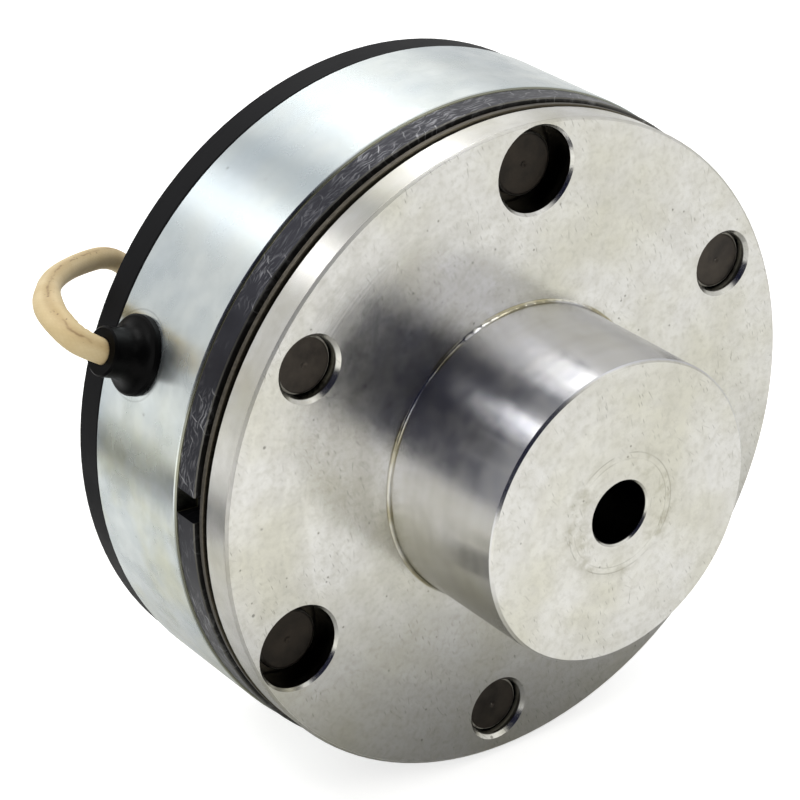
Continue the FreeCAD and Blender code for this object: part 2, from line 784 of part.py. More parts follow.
def hub_rivets():
    """Rivets that hold the spring and its washers to the hub."""
    body = new_body("hub_rivets", turned_placement(S.rivet_angle))
    tail = SPRING_BACK - S.hub_rivet_tail_height
    top = HUB_RIVET_SEAT + S.hub_rivet_height
    rivet = turn_beside(
        body,
        "rivet",
        RIVET_CIRCLE,
        [
            (0, tail),
            (S.hub_rivet_tail, tail),
            (S.hub_rivet_tail, SPRING_BACK),
            (S.rivet_shank_radius, SPRING_BACK),
            (S.rivet_shank_radius, HUB_RIVET_SEAT),
            (S.hub_rivet_head, HUB_RIVET_SEAT),
            (S.hub_rivet_head, top),
            (S.rivet_mark_radius, top),
            (0, top - S.rivet_mark_depth),
        ],
    )
    round_head(body, rivet, S.hub_rivet_head, top)
    ring_pattern(body, "rivets", None, S.rivet_count, whole=True)
    return body


def armature_rivets():
    """Rivets that hold the armature and its washers to the spring."""
    body = new_body("armature_rivets", turned_placement(S.rivet_angle + HALF_PITCH))
    tail = FRICTION_FACE + S.armature_rivet_sink
    neck = tail + S.armature_rivet_tail - S.rivet_shank_radius
    top = SPRING_FRONT + S.armature_rivet_height
    rivet = turn_beside(
        body,
        "rivet",
        RIVET_CIRCLE,
        [
            (0, tail),
            (S.armature_rivet_tail, tail),
            (S.rivet_shank_radius, neck),
            (S.rivet_shank_radius, SPRING_FRONT),
            (S.armature_rivet_head, SPRING_FRONT),
            (S.armature_rivet_head, top),
            (S.rivet_mark_radius, top),
            (0, top - S.rivet_mark_depth),
        ],
    )
    round_head(body, rivet, S.armature_rivet_head, top)
    ring_pattern(body, "rivets", None, S.rivet_count, whole=True)
    return body


def round_head(body, rivet, radius, top):
    """Rounds the rim of a rivet's head."""
    doc.recompute()
    edges = circles_at(rivet.Shape, radius, top)
    return round_over(body, "rounded_rim", rivet, edges, S.rivet_rounding)


# Route of the cable, as the points that its straight runs would meet in. It comes straight
# out of the grommet, folds back past the flange, drops beside the shaft bore and runs into
# the coil on the floor.
FLOOR = -float(S.housing_radius)
COIL_BOTTOM = FLOOR + float(S.tie_thickness)
CABLE_ON_FLOOR = COIL_BOTTOM + float(S.cable_radius)
OUTLET = outlet_placement().multVec(
    Vector(0, 0, float(S.housing_radius) + float(S.grommet_height))
)
OUTWARD = outlet_placement().Rotation.multVec(Vector(0, 0, 1))
COIL_ENTRY_X = float(S.coil_x) - float(S.coil_radius) - float(S.cable_radius)
CABLE_ROUTE = [
    OUTLET,
    OUTLET + OUTWARD * 2.2,
    Vector(-50.4, -9.0, 20.9),
    Vector(-50.7, -6.9, 21.9),
    Vector(-50.7, -4.3, 22.5),
    Vector(-49.3, -0.9, 22.8),
    Vector(-45.6, 3.2, 22.6),
    Vector(-39.4, 8.1, 21.2),
    Vector(-30.5, 13.2, 18.4),
    Vector(-24.2, 17.0, 11.5),
    Vector(-21.5, 17.3, -2.5),
    Vector(-17.0, 14.8, -19.5),
    Vector(-9.5, 12.5, -35.5),
    Vector(COIL_ENTRY_X, 21.0, CABLE_ON_FLOOR),
    Vector(COIL_ENTRY_X, float(S.coil_y), CABLE_ON_FLOOR),
]
# Each bend takes this share of its shorter run.
BEND_SHARE = 0.45


def rounded_path(points):
    """Straight runs joined by tangent arcs, as one wire, and the radius of each arc."""
    edges, radii = [], []
    here = points[0]
    for before, corner, after in zip(points, points[1:], points[2:]):
        back, ahead = before - corner, after - corner
        trim = BEND_SHARE * min(back.Length, ahead.Length)
        back.normalize()
        ahead.normalize()
        half_turn = (math.pi - back.getAngle(ahead)) / 2
        radii.append(trim / math.tan(half_turn))
        start, end = corner + back * trim, corner + ahead * trim
        to_centre = (back + ahead).normalize()
        centre = corner + to_centre * (trim / math.sin(half_turn))
        middle = centre - to_centre * radii[-1]
        edges.append(Part.LineSegment(here, start).toShape())
        edges.append(Part.Arc(start, middle, end).toShape())
        here = end
    edges.append(Part.LineSegment(here, points[-1]).toShape())
    return Part.Wire(edges), radii


def cable_sleeve():
    """Woven sleeve with the two leads in it, from the grommet to the coil."""
    path, radii = rounded_path(CABLE_ROUTE)
    radius = float(S.cable_radius)
    start = Part.Circle(CABLE_ROUTE[0], OUTWARD, radius)
    shape = path.makePipeShell([Part.Wire(start.toShape())], True, False)
    feature = doc.addObject("Part::Feature", "cable_sleeve")
    feature.Label = "cable_sleeve"
    feature.Shape = shape
    expected = math.pi * radius**2 * path.Length
    print(f"cable: {path.Length:.1f} mm long, bends", " ".join(f"{r:.1f}" for r in radii))
    print(f"cable: volume {shape.Volume:.1f}, section times length {expected:.1f}")
    return feature


def coil_placement(angle=0.0):
    """The put-away coil's frame: its centre, on the floor."""
    base = Vector(float(S.coil_x), float(S.coil_y), FLOOR)
    return Placement(base, Rotation(Vector(0, 0, 1), angle))


def cable_coil():
    """The rest of the cable, two turns beside each other, as their outer shape."""
    body = new_body("cable_coil", coil_placement())
    inner = S.coil_radius - S.cable_radius * 2
    outer = S.coil_radius + S.cable_radius * 2
    top = S.tie_thickness + S.cable_radius * 2
    corner = S.cable_radius / 2
    turn(body, "turns", bevelled_ring(inner, outer, S.tie_thickness, top, corner, corner))
    return body


def cable_ties():
    """Two flat bands round the coil's turns, which the coil rests on."""
    body = new_body("cable_ties", coil_placement(float(S.tie_angle)))
    gap = S.tie_clearance
    inner = S.coil_radius - S.cable_radius * 2 - gap
    outer = S.coil_radius + S.cable_radius * 2 + gap
    top = S.tie_thickness + S.cable_radius * 2 + gap
    outline = plain_ring(
        inner - S.tie_thickness, outer + S.tie_thickness, as_size(0), top + S.tie_thickness
    )
    sketch = new_sketch(body, "band_outline", "XZ_Plane")
    draw_outline(sketch, outline)
    draw_outline(sketch, plain_ring(inner, outer, S.tie_thickness, top))
    band = body.newObject("PartDesign::Pad", "band")
    band.Profile = sketch
    band.setExpression("Length", S.tie_width.text)
    band.Midplane = True
    body.Tip = band
    ring_pattern(body, "bands", None, S.tie_count, whole=True)
    return body


def free_leads(label, near, far, radius):
    """One stretch of the two leads past the sleeve's end, as straight wires."""
    out = math.radians(float(S.sleeve_end_angle))
    ring = float(S.coil_radius) - float(S.cable_radius)
    heading = math.radians(float(S.sleeve_end_angle) - 90 - float(S.lead_turn))
    along = Vector(math.cos(heading), math.sin(heading), 0)
    beside = Vector(-along.y, along.x, 0)
    start = Vector(float(S.coil_x), float(S.coil_y), CABLE_ON_FLOOR)
    start += Vector(math.cos(out), math.sin(out), 0) * ring
    spread = float(S.wire_pitch) / 2
    parts = []
    for side, name in ((-1, "a"), (1, "b")):
        wire = doc.addObject("Part::Cylinder", f"{label}_{name}")
        wire.setExpression("Radius", radius.text)
        wire.setExpression("Height", (far - near).text)
        base = start + beside * (side * spread) + along * float(near)
        wire.Placement = Placement(base, Rotation(Vector(0, 0, 1), along))
        parts.append(wire)
    group = doc.addObject("Part::Compound", label)
    group.Label = label
    group.Links = parts
    return group


def build_all():
    parts = [
        rear_flange(),
        magnet_housing(),
        inner_pole(),
        flange_screws("pole_screws", POLE_SCREW_CIRCLE, S.screw_angle),
        flange_screws("core_screws", CORE_SCREW_CIRCLE, S.fixing_angle),
        coil_bobbin(),
        coil_winding(),
        potting_ring(),
        cable_grommet(),
        lead_wires(),
        armature_disc(),
        washers("armature_washers", ARMATURE_FRONT, SPRING_BACK, S.rivet_angle + HALF_PITCH),
        armature_rivets(),
        leaf_spring(),
        washers("hub_washers", SPRING_FRONT, HUB_BACK, S.rivet_angle),
        hub_rivets(),
        hub(),
        cable_sleeve(),
        cable_coil(),
        cable_ties(),
        free_leads("lead_ends", as_size(0), S.lead_end_length, S.wire_radius),
        free_leads(
            "lead_tips",
            S.lead_end_length,
            S.lead_end_length + S.lead_tip_length,
            S.lead_tip_radius,
        ),
    ]
    for number in range(round(float(S.magnet_count))):
        parts.append(magnet_block(number))
    return parts


def check(parts):
    """Stops unless every object worked out and every part is a whole solid."""
    for item in doc.Objects:
        if {"Invalid", "Error"} & set(item.State):
            raise RuntimeError(f"{item.Label} failed: {item.State}")
    for part in parts:
        if part.Shape.isNull() or not part.Shape.isValid() or not part.Shape.Solids:
            raise RuntimeError(f"{part.Label} has no valid shape")


parts = build_all()
doc.recompute()
check(parts)
os.makedirs("parts", exist_ok=True)
for part in parts:
    part.Shape.exportStep(f"parts/{part.Label}.step")
    box = part.Shape.BoundBox
    print(
        f"{part.Label:18} solids {len(part.Shape.Solids)} volume {part.Shape.Volume:9.2f}"
        f"  x {box.XMin:7.2f} {box.XMax:7.2f}  y {box.YMin:7.2f} {box.YMax:7.2f}"
        f"  z {box.ZMin:7.2f} {box.ZMax:7.2f}"
    )
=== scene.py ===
"""Looks of a permanent magnet brake: its finishes, cable, spring arms and studio."""

import math

import bpy
import numpy as np
from mathutils import Matrix, Vector


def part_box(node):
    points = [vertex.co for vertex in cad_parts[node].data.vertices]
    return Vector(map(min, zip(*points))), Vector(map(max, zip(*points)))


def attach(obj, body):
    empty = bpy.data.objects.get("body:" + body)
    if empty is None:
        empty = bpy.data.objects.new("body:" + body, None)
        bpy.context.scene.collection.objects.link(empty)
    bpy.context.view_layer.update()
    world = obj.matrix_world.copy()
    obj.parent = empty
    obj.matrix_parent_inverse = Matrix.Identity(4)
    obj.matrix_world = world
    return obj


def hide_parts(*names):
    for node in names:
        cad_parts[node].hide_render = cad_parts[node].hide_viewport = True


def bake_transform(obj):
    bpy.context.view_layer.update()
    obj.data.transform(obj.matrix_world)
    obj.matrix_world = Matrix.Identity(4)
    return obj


MM = 0.001
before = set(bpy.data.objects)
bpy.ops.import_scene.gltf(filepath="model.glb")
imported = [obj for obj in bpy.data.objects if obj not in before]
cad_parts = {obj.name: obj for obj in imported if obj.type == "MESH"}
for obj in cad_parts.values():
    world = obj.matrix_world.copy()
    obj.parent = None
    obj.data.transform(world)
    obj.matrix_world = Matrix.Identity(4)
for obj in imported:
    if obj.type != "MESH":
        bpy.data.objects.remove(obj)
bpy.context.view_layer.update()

# Camera

CAMERA_PLACE = (-0.21200, -0.29458, 0.17843)
CAMERA_AIM = (0.5300, 0.7165, -0.4535)
LENS_MM = 135.0
SENSOR_MM = 36.0


def link(obj):
    """Puts an object into the scene and returns it."""
    bpy.context.scene.collection.objects.link(obj)
    return obj


lens = bpy.data.cameras.new("camera")
lens.lens = LENS_MM
lens.sensor_width = SENSOR_MM
lens.clip_start, lens.clip_end = 0.01, 50.0
camera = link(bpy.data.objects.new("camera", lens))
camera.location = CAMERA_PLACE
camera.rotation_mode = "QUATERNION"
camera.rotation_quaternion = Vector(CAMERA_AIM).to_track_quat("-Z", "Y")
bpy.context.scene.camera = camera

# Meshes

BODY = "stator"


def quads(rows, columns, closed=False):
    """Faces of a grid of points whose columns close round, and its rows too if closed."""
    each_row = np.arange(rows if closed else rows - 1)
    row, column = np.meshgrid(each_row, np.arange(columns), indexing="ij")
    next_row, next_column = (row + 1) % rows, (column + 1) % columns
    corners = [(row, column), (row, next_column), (next_row, next_column), (next_row, column)]
    return np.stack([r * columns + c for r, c in corners], axis=-1).reshape(-1, 4)


def grid_mesh(name, points, uv=None, smooth=True):
    """Mesh of a grid of points (rows, columns, 3). The columns close round, and each end
    row closes with a fan to its middle. uv, if given, is (rows, columns + 1, 2)."""
    rows, columns = points.shape[:2]
    around = np.arange(columns)
    following = (around + 1) % columns
    first, last = rows * columns, rows * columns + 1
    top = (rows - 1) * columns
    fan_a = np.stack([np.full(columns, first), following, around], axis=-1)
    fan_b = np.stack([np.full(columns, last), top + around, top + following], axis=-1)
    middles = [points[0].mean(axis=0), points[-1].mean(axis=0)]
    vertices = np.concatenate([points.reshape(-1, 3), middles])
    mesh = bpy.data.meshes.new(name)
    faces = [*quads(rows, columns).tolist(), *fan_a.tolist(), *fan_b.tolist()]
    mesh.from_pydata(vertices.tolist(), [], faces)
    if uv is not None:
        corners = np.stack(
            [uv[:-1, :-1], uv[:-1, 1:], uv[1:, 1:], uv[1:, :-1]], axis=2
        ).reshape(-1, 2)
        ends = [np.repeat(uv[k].mean(axis=0)[None], 3 * columns, axis=0) for k in (0, -1)]
        layer = mesh.uv_layers.new(name="along")
        layer.uv.foreach_set("vector", np.concatenate([corners, *ends]).ravel())
    mesh.polygons.foreach_set("use_smooth", np.full(len(faces), smooth))
    mesh.update()
    return mesh


def joined(name, meshes):
    """One mesh of several, with their UV maps."""
    total = bpy.data.meshes.new(name)
    vertices, faces, layers, smooth, start = [], [], [], [], 0
    for mesh in meshes:
        count = len(mesh.vertices)
        place = np.empty(count * 3)
        mesh.vertices.foreach_get("co", place)
        vertices.append(place.reshape(-1, 3))
        faces += [[start + v for v in face.vertices] for face in mesh.polygons]
        rounded = np.empty(len(mesh.polygons), bool)
        mesh.polygons.foreach_get("use_smooth", rounded)
        smooth.append(rounded)
        if mesh.uv_layers:
            corners = np.empty(len(mesh.loops) * 2)
            mesh.uv_layers[0].uv.foreach_get("vector", corners)
            layers.append(corners)
        start += count
    total.from_pydata(np.concatenate(vertices).tolist(), [], faces)
    if layers:
        total.uv_layers.new(name="along").uv.foreach_set("vector", np.concatenate(layers))
    total.polygons.foreach_set("use_smooth", np.concatenate(smooth))
    total.update()
    return total


def unit(vectors):
    """Vectors (..., 3) made one long."""
    return vectors / np.linalg.norm(vectors, axis=-1, keepdims=True)


def piece(name, mesh, slot, *nodes):
    """A piece on the magnet body that stands for some CAD nodes. The slot is not used."""
    obj = link(bpy.data.objects.new(name, mesh))
    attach(obj, BODY)
    if nodes:
        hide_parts(*nodes)
    return obj


# Cable

CABLE_RADIUS = 1.8
GIRTH = 2 * math.pi * CABLE_RADIUS
UV_PER_MM = 0.01
FLOOR = -45.0
TIE_THICKNESS = 0.5
CABLE_ON_FLOOR = FLOOR + TIE_THICKNESS + CABLE_RADIUS
OUTLET = (-46.70, -10.10, 18.68)

# Points of the route between the outlet and the floor, in millimetres.
DROP_POINTS = [
    (-48.6, -10.0, 19.95),
    (-50.15, -9.1, 21.3),
    (-50.45, -6.85, 22.3),
    (-50.0, -4.15, 22.5),
    (-47.9, 0.45, 22.1),
    (-43.4, 7.35, 20.7),
    (-37.2, 12.25, 19.35),
    (-29.0, 16.2, 17.4),
    (-23.4, 18.4, 11.0),
    (-21.5, 17.3, -2.5),
    (-17.0, 14.8, -19.5),
    (-9.5, 12.5, -35.5),
    (-3.8, 21.0, CABLE_ON_FLOOR),
]
COIL_CENTRE = (18.0, 33.0)
COIL_RADIUS = 20.0
# Degrees in each of the two turns and in the stretch between them, counted clockwise
# from the side of -X, and the angle that they end at.
TURN_ANGLE = 310.0
JOG_ANGLE = 50.0
END_ANGLE = 180.0 - TURN_ANGLE * 2 - JOG_ANGLE
POINTS_PER_TURN = 18


def coil_points():
    """Control points of the coil's two turns. The first has the larger radius, a short
    stretch eases in by one cable diameter, on the curve 3 s^2 - 2 s^3, and the second
    lies inside the first. Each point stands off its circle by 1 / (3/4 + cos(step) / 4),
    so that the line meets the circle."""
    step = 360.0 / POINTS_PER_TURN
    stand_off = 1 / (0.75 + 0.25 * math.cos(math.radians(step)))
    points = []
    turned = step / 2
    while turned < TURN_ANGLE * 2 + JOG_ANGLE:
        share = min(max((turned - TURN_ANGLE) / JOG_ANGLE, 0.0), 1.0)
        ease = share * share * (3 - 2 * share)
        radius = (COIL_RADIUS + CABLE_RADIUS * (1 - 2 * ease)) * stand_off
        angle = math.radians(180.0 - turned)
        x = COIL_CENTRE[0] + radius * math.cos(angle)
        y = COIL_CENTRE[1] + radius * math.sin(angle)
        points.append((x, y, CABLE_ON_FLOOR))
        turned += step
    angle = math.radians(END_ANGLE)
    radius = COIL_RADIUS - CABLE_RADIUS
    x = COIL_CENTRE[0] + radius * math.cos(angle)
    y = COIL_CENTRE[1] + radius * math.sin(angle)
    return [*points, (x, y, CABLE_ON_FLOOR)]


def smooth_line(name, points, per_point=12):
    """Points in metres along the NURBS spline that has these control points in mm."""
    curve = bpy.data.curves.new(name, "CURVE")
    curve.dimensions = "3D"
    curve.resolution_u = per_point
    spline = curve.splines.new("NURBS")
    spline.points.add(len(points) - 1)
    for control, place in zip(spline.points, points):
        control.co = (*(MM * value for value in place), 1.0)
    spline.order_u = 3
    spline.use_endpoint_u = True
    holder = bpy.data.objects.new(name, curve)
    line = bpy.data.meshes.new_from_object(holder)
    found = np.empty(len(line.vertices) * 3)
    line.vertices.foreach_get("co", found)
    bpy.data.objects.remove(holder)
    bpy.data.meshes.remove(line)
    bpy.data.curves.remove(curve)
    return found.reshape(-1, 3)


def evened(line, step):
    """A line's points at equal steps along it, and each one's distance from its start."""
    runs = np.linalg.norm(np.diff(line, axis=0), axis=1)
    along = np.concatenate([[0.0], np.cumsum(runs)])
    count = max(int(round(along[-1] / step)), 2) + 1
    wanted = np.linspace(0.0, along[-1], count)
    return np.stack([np.interp(wanted, along, line[:, k]) for k in range(3)], -1), wanted


def tube_frames(line, hint):
    """Along, wide and thin directions at each point of a line. The wide one is the hint,
    one for all points or one for each, with its part along the line taken away, and the
    thin one stands on both."""
    along = unit(np.gradient(line, axis=0))
    wide = unit(hint - along * np.sum(hint * along, axis=1, keepdims=True))
    return along, wide, np.cross(along, wide)


# The sleeve's twist is counted from the direction square to its line and to this one.
TWIST_FROM = (0.60, -0.60, 0.55)
# Distance from the outlet in mm, twist in degrees, half width and half thickness.
SLEEVE_STATIONS = [
    (0.0, 165.0, 1.62, 1.56),
    (3.0, 152.0, 1.74, 1.44),
    (7.0, 122.0, 1.92, 1.28),
    (11.0, 118.0, 1.96, 1.22),
    (14.0, 128.0, 1.86, 1.28),
    (18.0, 138.0, 1.60, 1.38),
    (22.0, 142.0, 1.46, 1.40),
    (30.0, 144.0, 1.44, 1.40),
    (50.0, 146.0, 1.62, 1.48),
    (80.0, 150.0, 1.78, 1.60),
    (140.0, 160.0, 1.80, 1.74),
]
SLEEVE_COLUMNS = 40
# The groove is this wide, as a cosine, and this deep where the halves differ by FLAT.
GROOVE_WIDTH, GROOVE_DEPTH, FLAT = 0.24, 0.30, 0.8
RIPPLE_LENGTH, RIPPLE_DEPTH, RIPPLE_GAIN = 1.3, 0.07, 6.0
# The sleeve starts so far inside the grommet. Its far end has a hem, drawn in to a share
# of its radius, and turns in so far.
HIDDEN_START, HEM, HEM_SHARE, HIDDEN_END = 1.5, 0.4, 0.80, 2.0


def sleeve_mesh(line, distance):
    """The sleeve over the two leads: a tube whose section is an ellipse with a shallow
    groove along the middle of each flat side, where it sinks between the leads. The
    groove falls off as exp(-(cos(turn) / width)^2). Sine ripples wrinkle the inside of
    tight bends. The near end starts inside the grommet, and the far end turns in."""
    travel = distance / MM
    stations, *columns = np.array(SLEEVE_STATIONS).T
    twist, wide_half, thin_half = (np.interp(travel, stations, c) for c in columns)
    even = np.ones(9) / 9
    twist = np.convolve(np.pad(np.radians(twist), 4, mode="edge"), even, mode="valid")
    half = np.stack([wide_half, thin_half], -1)
    across = unit(np.cross(np.gradient(line, axis=0), TWIST_FROM))
    away = unit(np.cross(np.gradient(line, axis=0), across))
    hint = across * np.cos(twist)[:, None] + away * np.sin(twist)[:, None]
    along, wide, thin = tube_frames(line, hint)
    outer_turn = np.linspace(0, 2 * np.pi, SLEEVE_COLUMNS, endpoint=False)[None, :]
    flatness = np.clip((half[:, :1] - half[:, 1:]) / FLAT, 0, 1)
    groove = np.exp(-((np.cos(outer_turn) / GROOVE_WIDTH) ** 2)) * GROOVE_DEPTH * flatness
    bend = np.gradient(along, distance, axis=0)
    inward = np.stack([np.sum(bend * wide, 1), np.sum(bend * thin, 1)], -1) * MM
    facing = inward[:, :1] * np.cos(outer_turn) + inward[:, 1:] * np.sin(outer_turn)
    wave = np.sin(travel[:, None] * 2 * np.pi / RIPPLE_LENGTH)
    ripple = np.clip(facing * RIPPLE_GAIN, 0, 1) * wave * RIPPLE_DEPTH
    uneven = np.sin(travel / 5.1) * np.sin(travel / 2.3 + 1.0) * 0.03
    aside = (half[:, :1] + uneven[:, None] + ripple) * np.cos(outer_turn)
    deep = (half[:, 1:] + ripple - groove) * np.sin(outer_turn)
    points = line[:, None] + MM * (
        aside[..., None] * wide[:, None] + deep[..., None] * thin[:, None]
    )
    into_grommet = points[:1] - along[0] * MM * HIDDEN_START
    hem = line[-1] + (points[-1] - line[-1]) * HEM_SHARE
    inside = hem - along[-1] * MM * HIDDEN_END
    points = np.concatenate([into_grommet, points, hem[None], inside[None]])
    ends = [travel[-1] + HEM, travel[-1] + HIDDEN_END]
    lengths = np.concatenate([[-HIDDEN_START], travel, ends])
    turn = np.linspace(0, GIRTH, SLEEVE_COLUMNS + 1)
    uv = np.stack(np.broadcast_arrays(turn[None, :], lengths[:, None]), -1) * UV_PER_MM
    return grid_mesh("cable", points, uv)


route = [OUTLET, *DROP_POINTS, *coil_points()]
cable_line, cable_distance = evened(smooth_line("cable_route", route, 16), 0.5 * MM)
cable = piece(
    "cable",
    sleeve_mesh(cable_line, cable_distance),
    "cable_fabric",
    "cable_sleeve",
    "cable_coil",
)

# Leads and ties

LEAD_PITCH = 1.3
LEAD_RADIUS = 0.6
LEAD_COVER = 16.0
SLEEVE_END = math.radians(END_ANGLE)
# The sleeve ends square to the coil's radius, and the leads turn on into the coil.
LEAD_TURN = 58.0
LEAD_HEADING = math.radians(END_ANGLE - 90.0 - LEAD_TURN)
# How far ahead in mm, and how far aside in pitches, each lead swings.
LEAD_BENDS = [(0, 0.5), (4, 0.5), (9, 0.9), (14, 0.35), (18, 0.9), (21, 1.3)]
NEARLY_UP = (0.05, 0.1, 1.0)
MIDDLE_STRAND, OUTER_STRAND, STRAND_OFFSET = 0.16, 0.135, 0.25
STRAND_LAY = 6.0


def lead_route(side):
    """One lead past the sleeve: it starts in the sleeve's mouth, swings gently to its
    own side and points into the coil."""
    start = np.array([*COIL_CENTRE, CABLE_ON_FLOOR])
    reach = COIL_RADIUS - CABLE_RADIUS
    start[:2] += reach * np.array([math.cos(SLEEVE_END), math.sin(SLEEVE_END)])
    ahead = np.array([math.cos(LEAD_HEADING), math.sin(LEAD_HEADING), 0.0])
    aside = np.array([-ahead[1], ahead[0], 0.0]) * side * LEAD_PITCH
    return [start + ahead * far + aside * sway for far, sway in LEAD_BENDS]


def round_tube(name, line, radius, columns):
    """Tube along a line in metres, with one radius in mm or one for each point."""
    _, wide, thin = tube_frames(line, NEARLY_UP)
    turn = np.linspace(0, 2 * np.pi, columns, endpoint=False)[None, :, None]
    ring = np.cos(turn) * wide[:, None] + np.sin(turn) * thin[:, None]
    sizes = np.broadcast_to(radius, len(line)) * MM
    return grid_mesh(name, line[:, None] + ring * sizes[:, None, None])


def lead_pieces():
    """The insulation of both leads, and their tinned tips of seven twisted strands."""
    covers, tips = [], []
    for side in (-1, 1):
        line, distance = evened(smooth_line("lead_route", lead_route(side)), 0.4 * MM)
        cut = int(np.searchsorted(distance, LEAD_COVER * MM))
        cut_edge = np.clip((distance[cut - 1] - distance[:cut]) / (0.2 * MM), 0.82, 1.0)
        covers.append(round_tube("lead_cover", line[:cut], LEAD_RADIUS * cut_edge, 20))
        bare = line[cut - 3 :]
        _, wide, thin = tube_frames(bare, NEARLY_UP)
        spin = distance[cut - 3 :] / MM * 2 * np.pi / STRAND_LAY
        tips.append(round_tube("strand", bare, MIDDLE_STRAND, 8))
        for strand in range(6):
            turn = spin + strand * math.pi / 3
            aside = np.cos(turn)[:, None] * wide + np.sin(turn)[:, None] * thin
            beside = bare + aside * STRAND_OFFSET * MM
            tips.append(round_tube("strand", beside, OUTER_STRAND, 8))
    return joined("lead_covers", covers), joined("lead_strands", tips)


cover_mesh, strand_mesh = lead_pieces()
lead_covers = piece("lead_covers", cover_mesh, "lead_insulation", "lead_ends")
lead_strands = piece("lead_strands", strand_mesh, "tinned_copper", "lead_tips")

TIE_ANGLES = (70.0, 250.0)
TIE_WIDTH = 2.5
TIE_PLAY = 0.1
TIE_EDGE = 0.08
# Half sizes of head and tail across the cable, along it and up, and their edges.
TIE_HEAD, HEAD_EDGE = (1.1, 1.9, 1.6), 0.35
TIE_TAIL, TAIL_EDGE = (0.28, 1.2, 1.3), 0.2


def rounded_box(centre, half, edge, axes):
    """Box with rounded edges: each point of a sphere is drawn out to the nearest face of
    a smaller box, and stands one edge radius off it."""
    polar = np.linspace(0.02, np.pi - 0.02, 12)[:, None]
    turn = np.linspace(0, 2 * np.pi, 24, endpoint=False)[None, :]
    ball = [np.sin(polar) * np.cos(turn), np.sin(polar) * np.sin(turn), np.cos(polar)]
    ball = np.stack(np.broadcast_arrays(*ball), -1)
    core = np.clip(ball * 4.0, -1.0, 1.0) * (np.array(half) - edge)
    points = core + ball * edge
    return (points @ np.array(axes) + centre) * MM


def cable_tie(angle):
    """A tie round both turns: a flat strap on a rounded rectangle, given by the power
    curve |u|^4 + |v|^4 = 1, with its head inside the coil and a short cut tail."""
    out = np.array([math.cos(math.radians(angle)), math.sin(math.radians(angle)), 0.0])
    beside = np.array([-out[1], out[0], 0.0])
    up = np.array([0.0, 0.0, 1.0])
    middle = np.array([*COIL_CENTRE, 0.0]) + out * COIL_RADIUS
    half_up = (2 * TIE_THICKNESS + 2 * CABLE_RADIUS + TIE_PLAY) / 2
    middle[2] = FLOOR + half_up
    half_out = 2 * CABLE_RADIUS + TIE_PLAY + TIE_THICKNESS
    turn = np.linspace(0, 2 * np.pi, 72, endpoint=False)
    loop = [np.sign(side) * np.sqrt(np.abs(side)) for side in (np.cos(turn), np.sin(turn))]
    across = np.array([-1, -0.94, 0.94, 1, 1, 0.94, -0.94, -1]) * TIE_WIDTH / 2
    depth = np.array([TIE_EDGE, 0, 0, TIE_EDGE])
    depth = np.concatenate([depth, TIE_THICKNESS - depth])
    ring_out = (half_out - depth[None, :]) * loop[0][:, None]
    ring_up = (half_up - depth[None, :]) * loop[1][:, None]
    strap = (
        middle
        + ring_out[..., None] * out
        + ring_up[..., None] * up
        + np.broadcast_to(across, ring_out.shape)[..., None] * beside
    )
    mesh = bpy.data.meshes.new("tie_strap")
    faces = quads(*strap.shape[:2], closed=True)
    mesh.from_pydata((strap.reshape(-1, 3) * MM).tolist(), [], faces.tolist())
    axes = (out, beside, up)
    head = middle - out * (half_out + 0.9) + up * 0.3
    tail = head + up * 2.2 + out * 0.2
    body = grid_mesh("tie_head", rounded_box(head, TIE_HEAD, HEAD_EDGE, axes))
    end = grid_mesh("tie_tail", rounded_box(tail, TIE_TAIL, TAIL_EDGE, axes))
    return [mesh, body, end]


tie_mesh = joined("cable_straps", [part for a in TIE_ANGLES for part in cable_tie(a)])
cable_straps = piece("cable_straps", tie_mesh, "tie_plastic", "cable_ties")

# Leaf spring

# Radius of the circle of the rivets, and the angle from X of the first one.
HOLE_CIRCLE = 37.9
FIRST_HOLE = math.radians(26.6)
SIXTH = math.radians(60.0)
SPRING_WIDTH = 12.8
SPRING_EDGE = 0.05


def spring_arm(name, first, low, high):
    """A sixth of the flat ring, from one rivet to the next: a rectangle in distance from
    the axis and in depth, with its corners cut off, carried round the axis. Low and high
    are the corners of the ring's box, in metres."""
    rim, front, back = high[0] / MM, low[1] / MM, high[1] / MM
    bore, edge = rim - SPRING_WIDTH, SPRING_EDGE
    section = [
        (rim, front + edge),
        (rim, back - edge),
        (rim - edge, back),
        (bore + edge, back),
        (bore, back - edge),
        (bore, front + edge),
        (bore + edge, front),
        (rim - edge, front),
    ]
    radius, depth = np.array(section).T[:, None]
    angle = first + np.linspace(0.0, SIXTH, 61)[:, None]
    points = np.broadcast_arrays(np.cos(angle) * radius, depth, np.sin(angle) * radius)
    return grid_mesh(name, np.stack(points, -1) * MM, smooth=False)


def spring_arms():
    """The ring is riveted in turn to the hub and to the armature; each arm is a flat sixth of it,
    from one rivet to the next."""
    arms = []
    low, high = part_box("leaf_spring")
    for number in range(6):
        first = FIRST_HOLE + SIXTH * number
        name = f"spring_arm_{number + 1}"
        arm = link(bpy.data.objects.new(name, spring_arm(name, first, low, high)))
        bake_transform(arm)
        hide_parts("leaf_spring")
        arms.append(arm)
    return arms


SPRING_ARMS = spring_arms()

# Materials


def linear(hex_colour):
    """An sRGB hex colour as linear red, green, blue and alpha."""
    parts = [int(hex_colour[k : k + 2], 16) / 255 for k in (1, 3, 5)]
    return (*(p / 12.92 if p <= 0.04045 else ((p + 0.055) / 1.055) ** 2.4 for p in parts), 1.0)


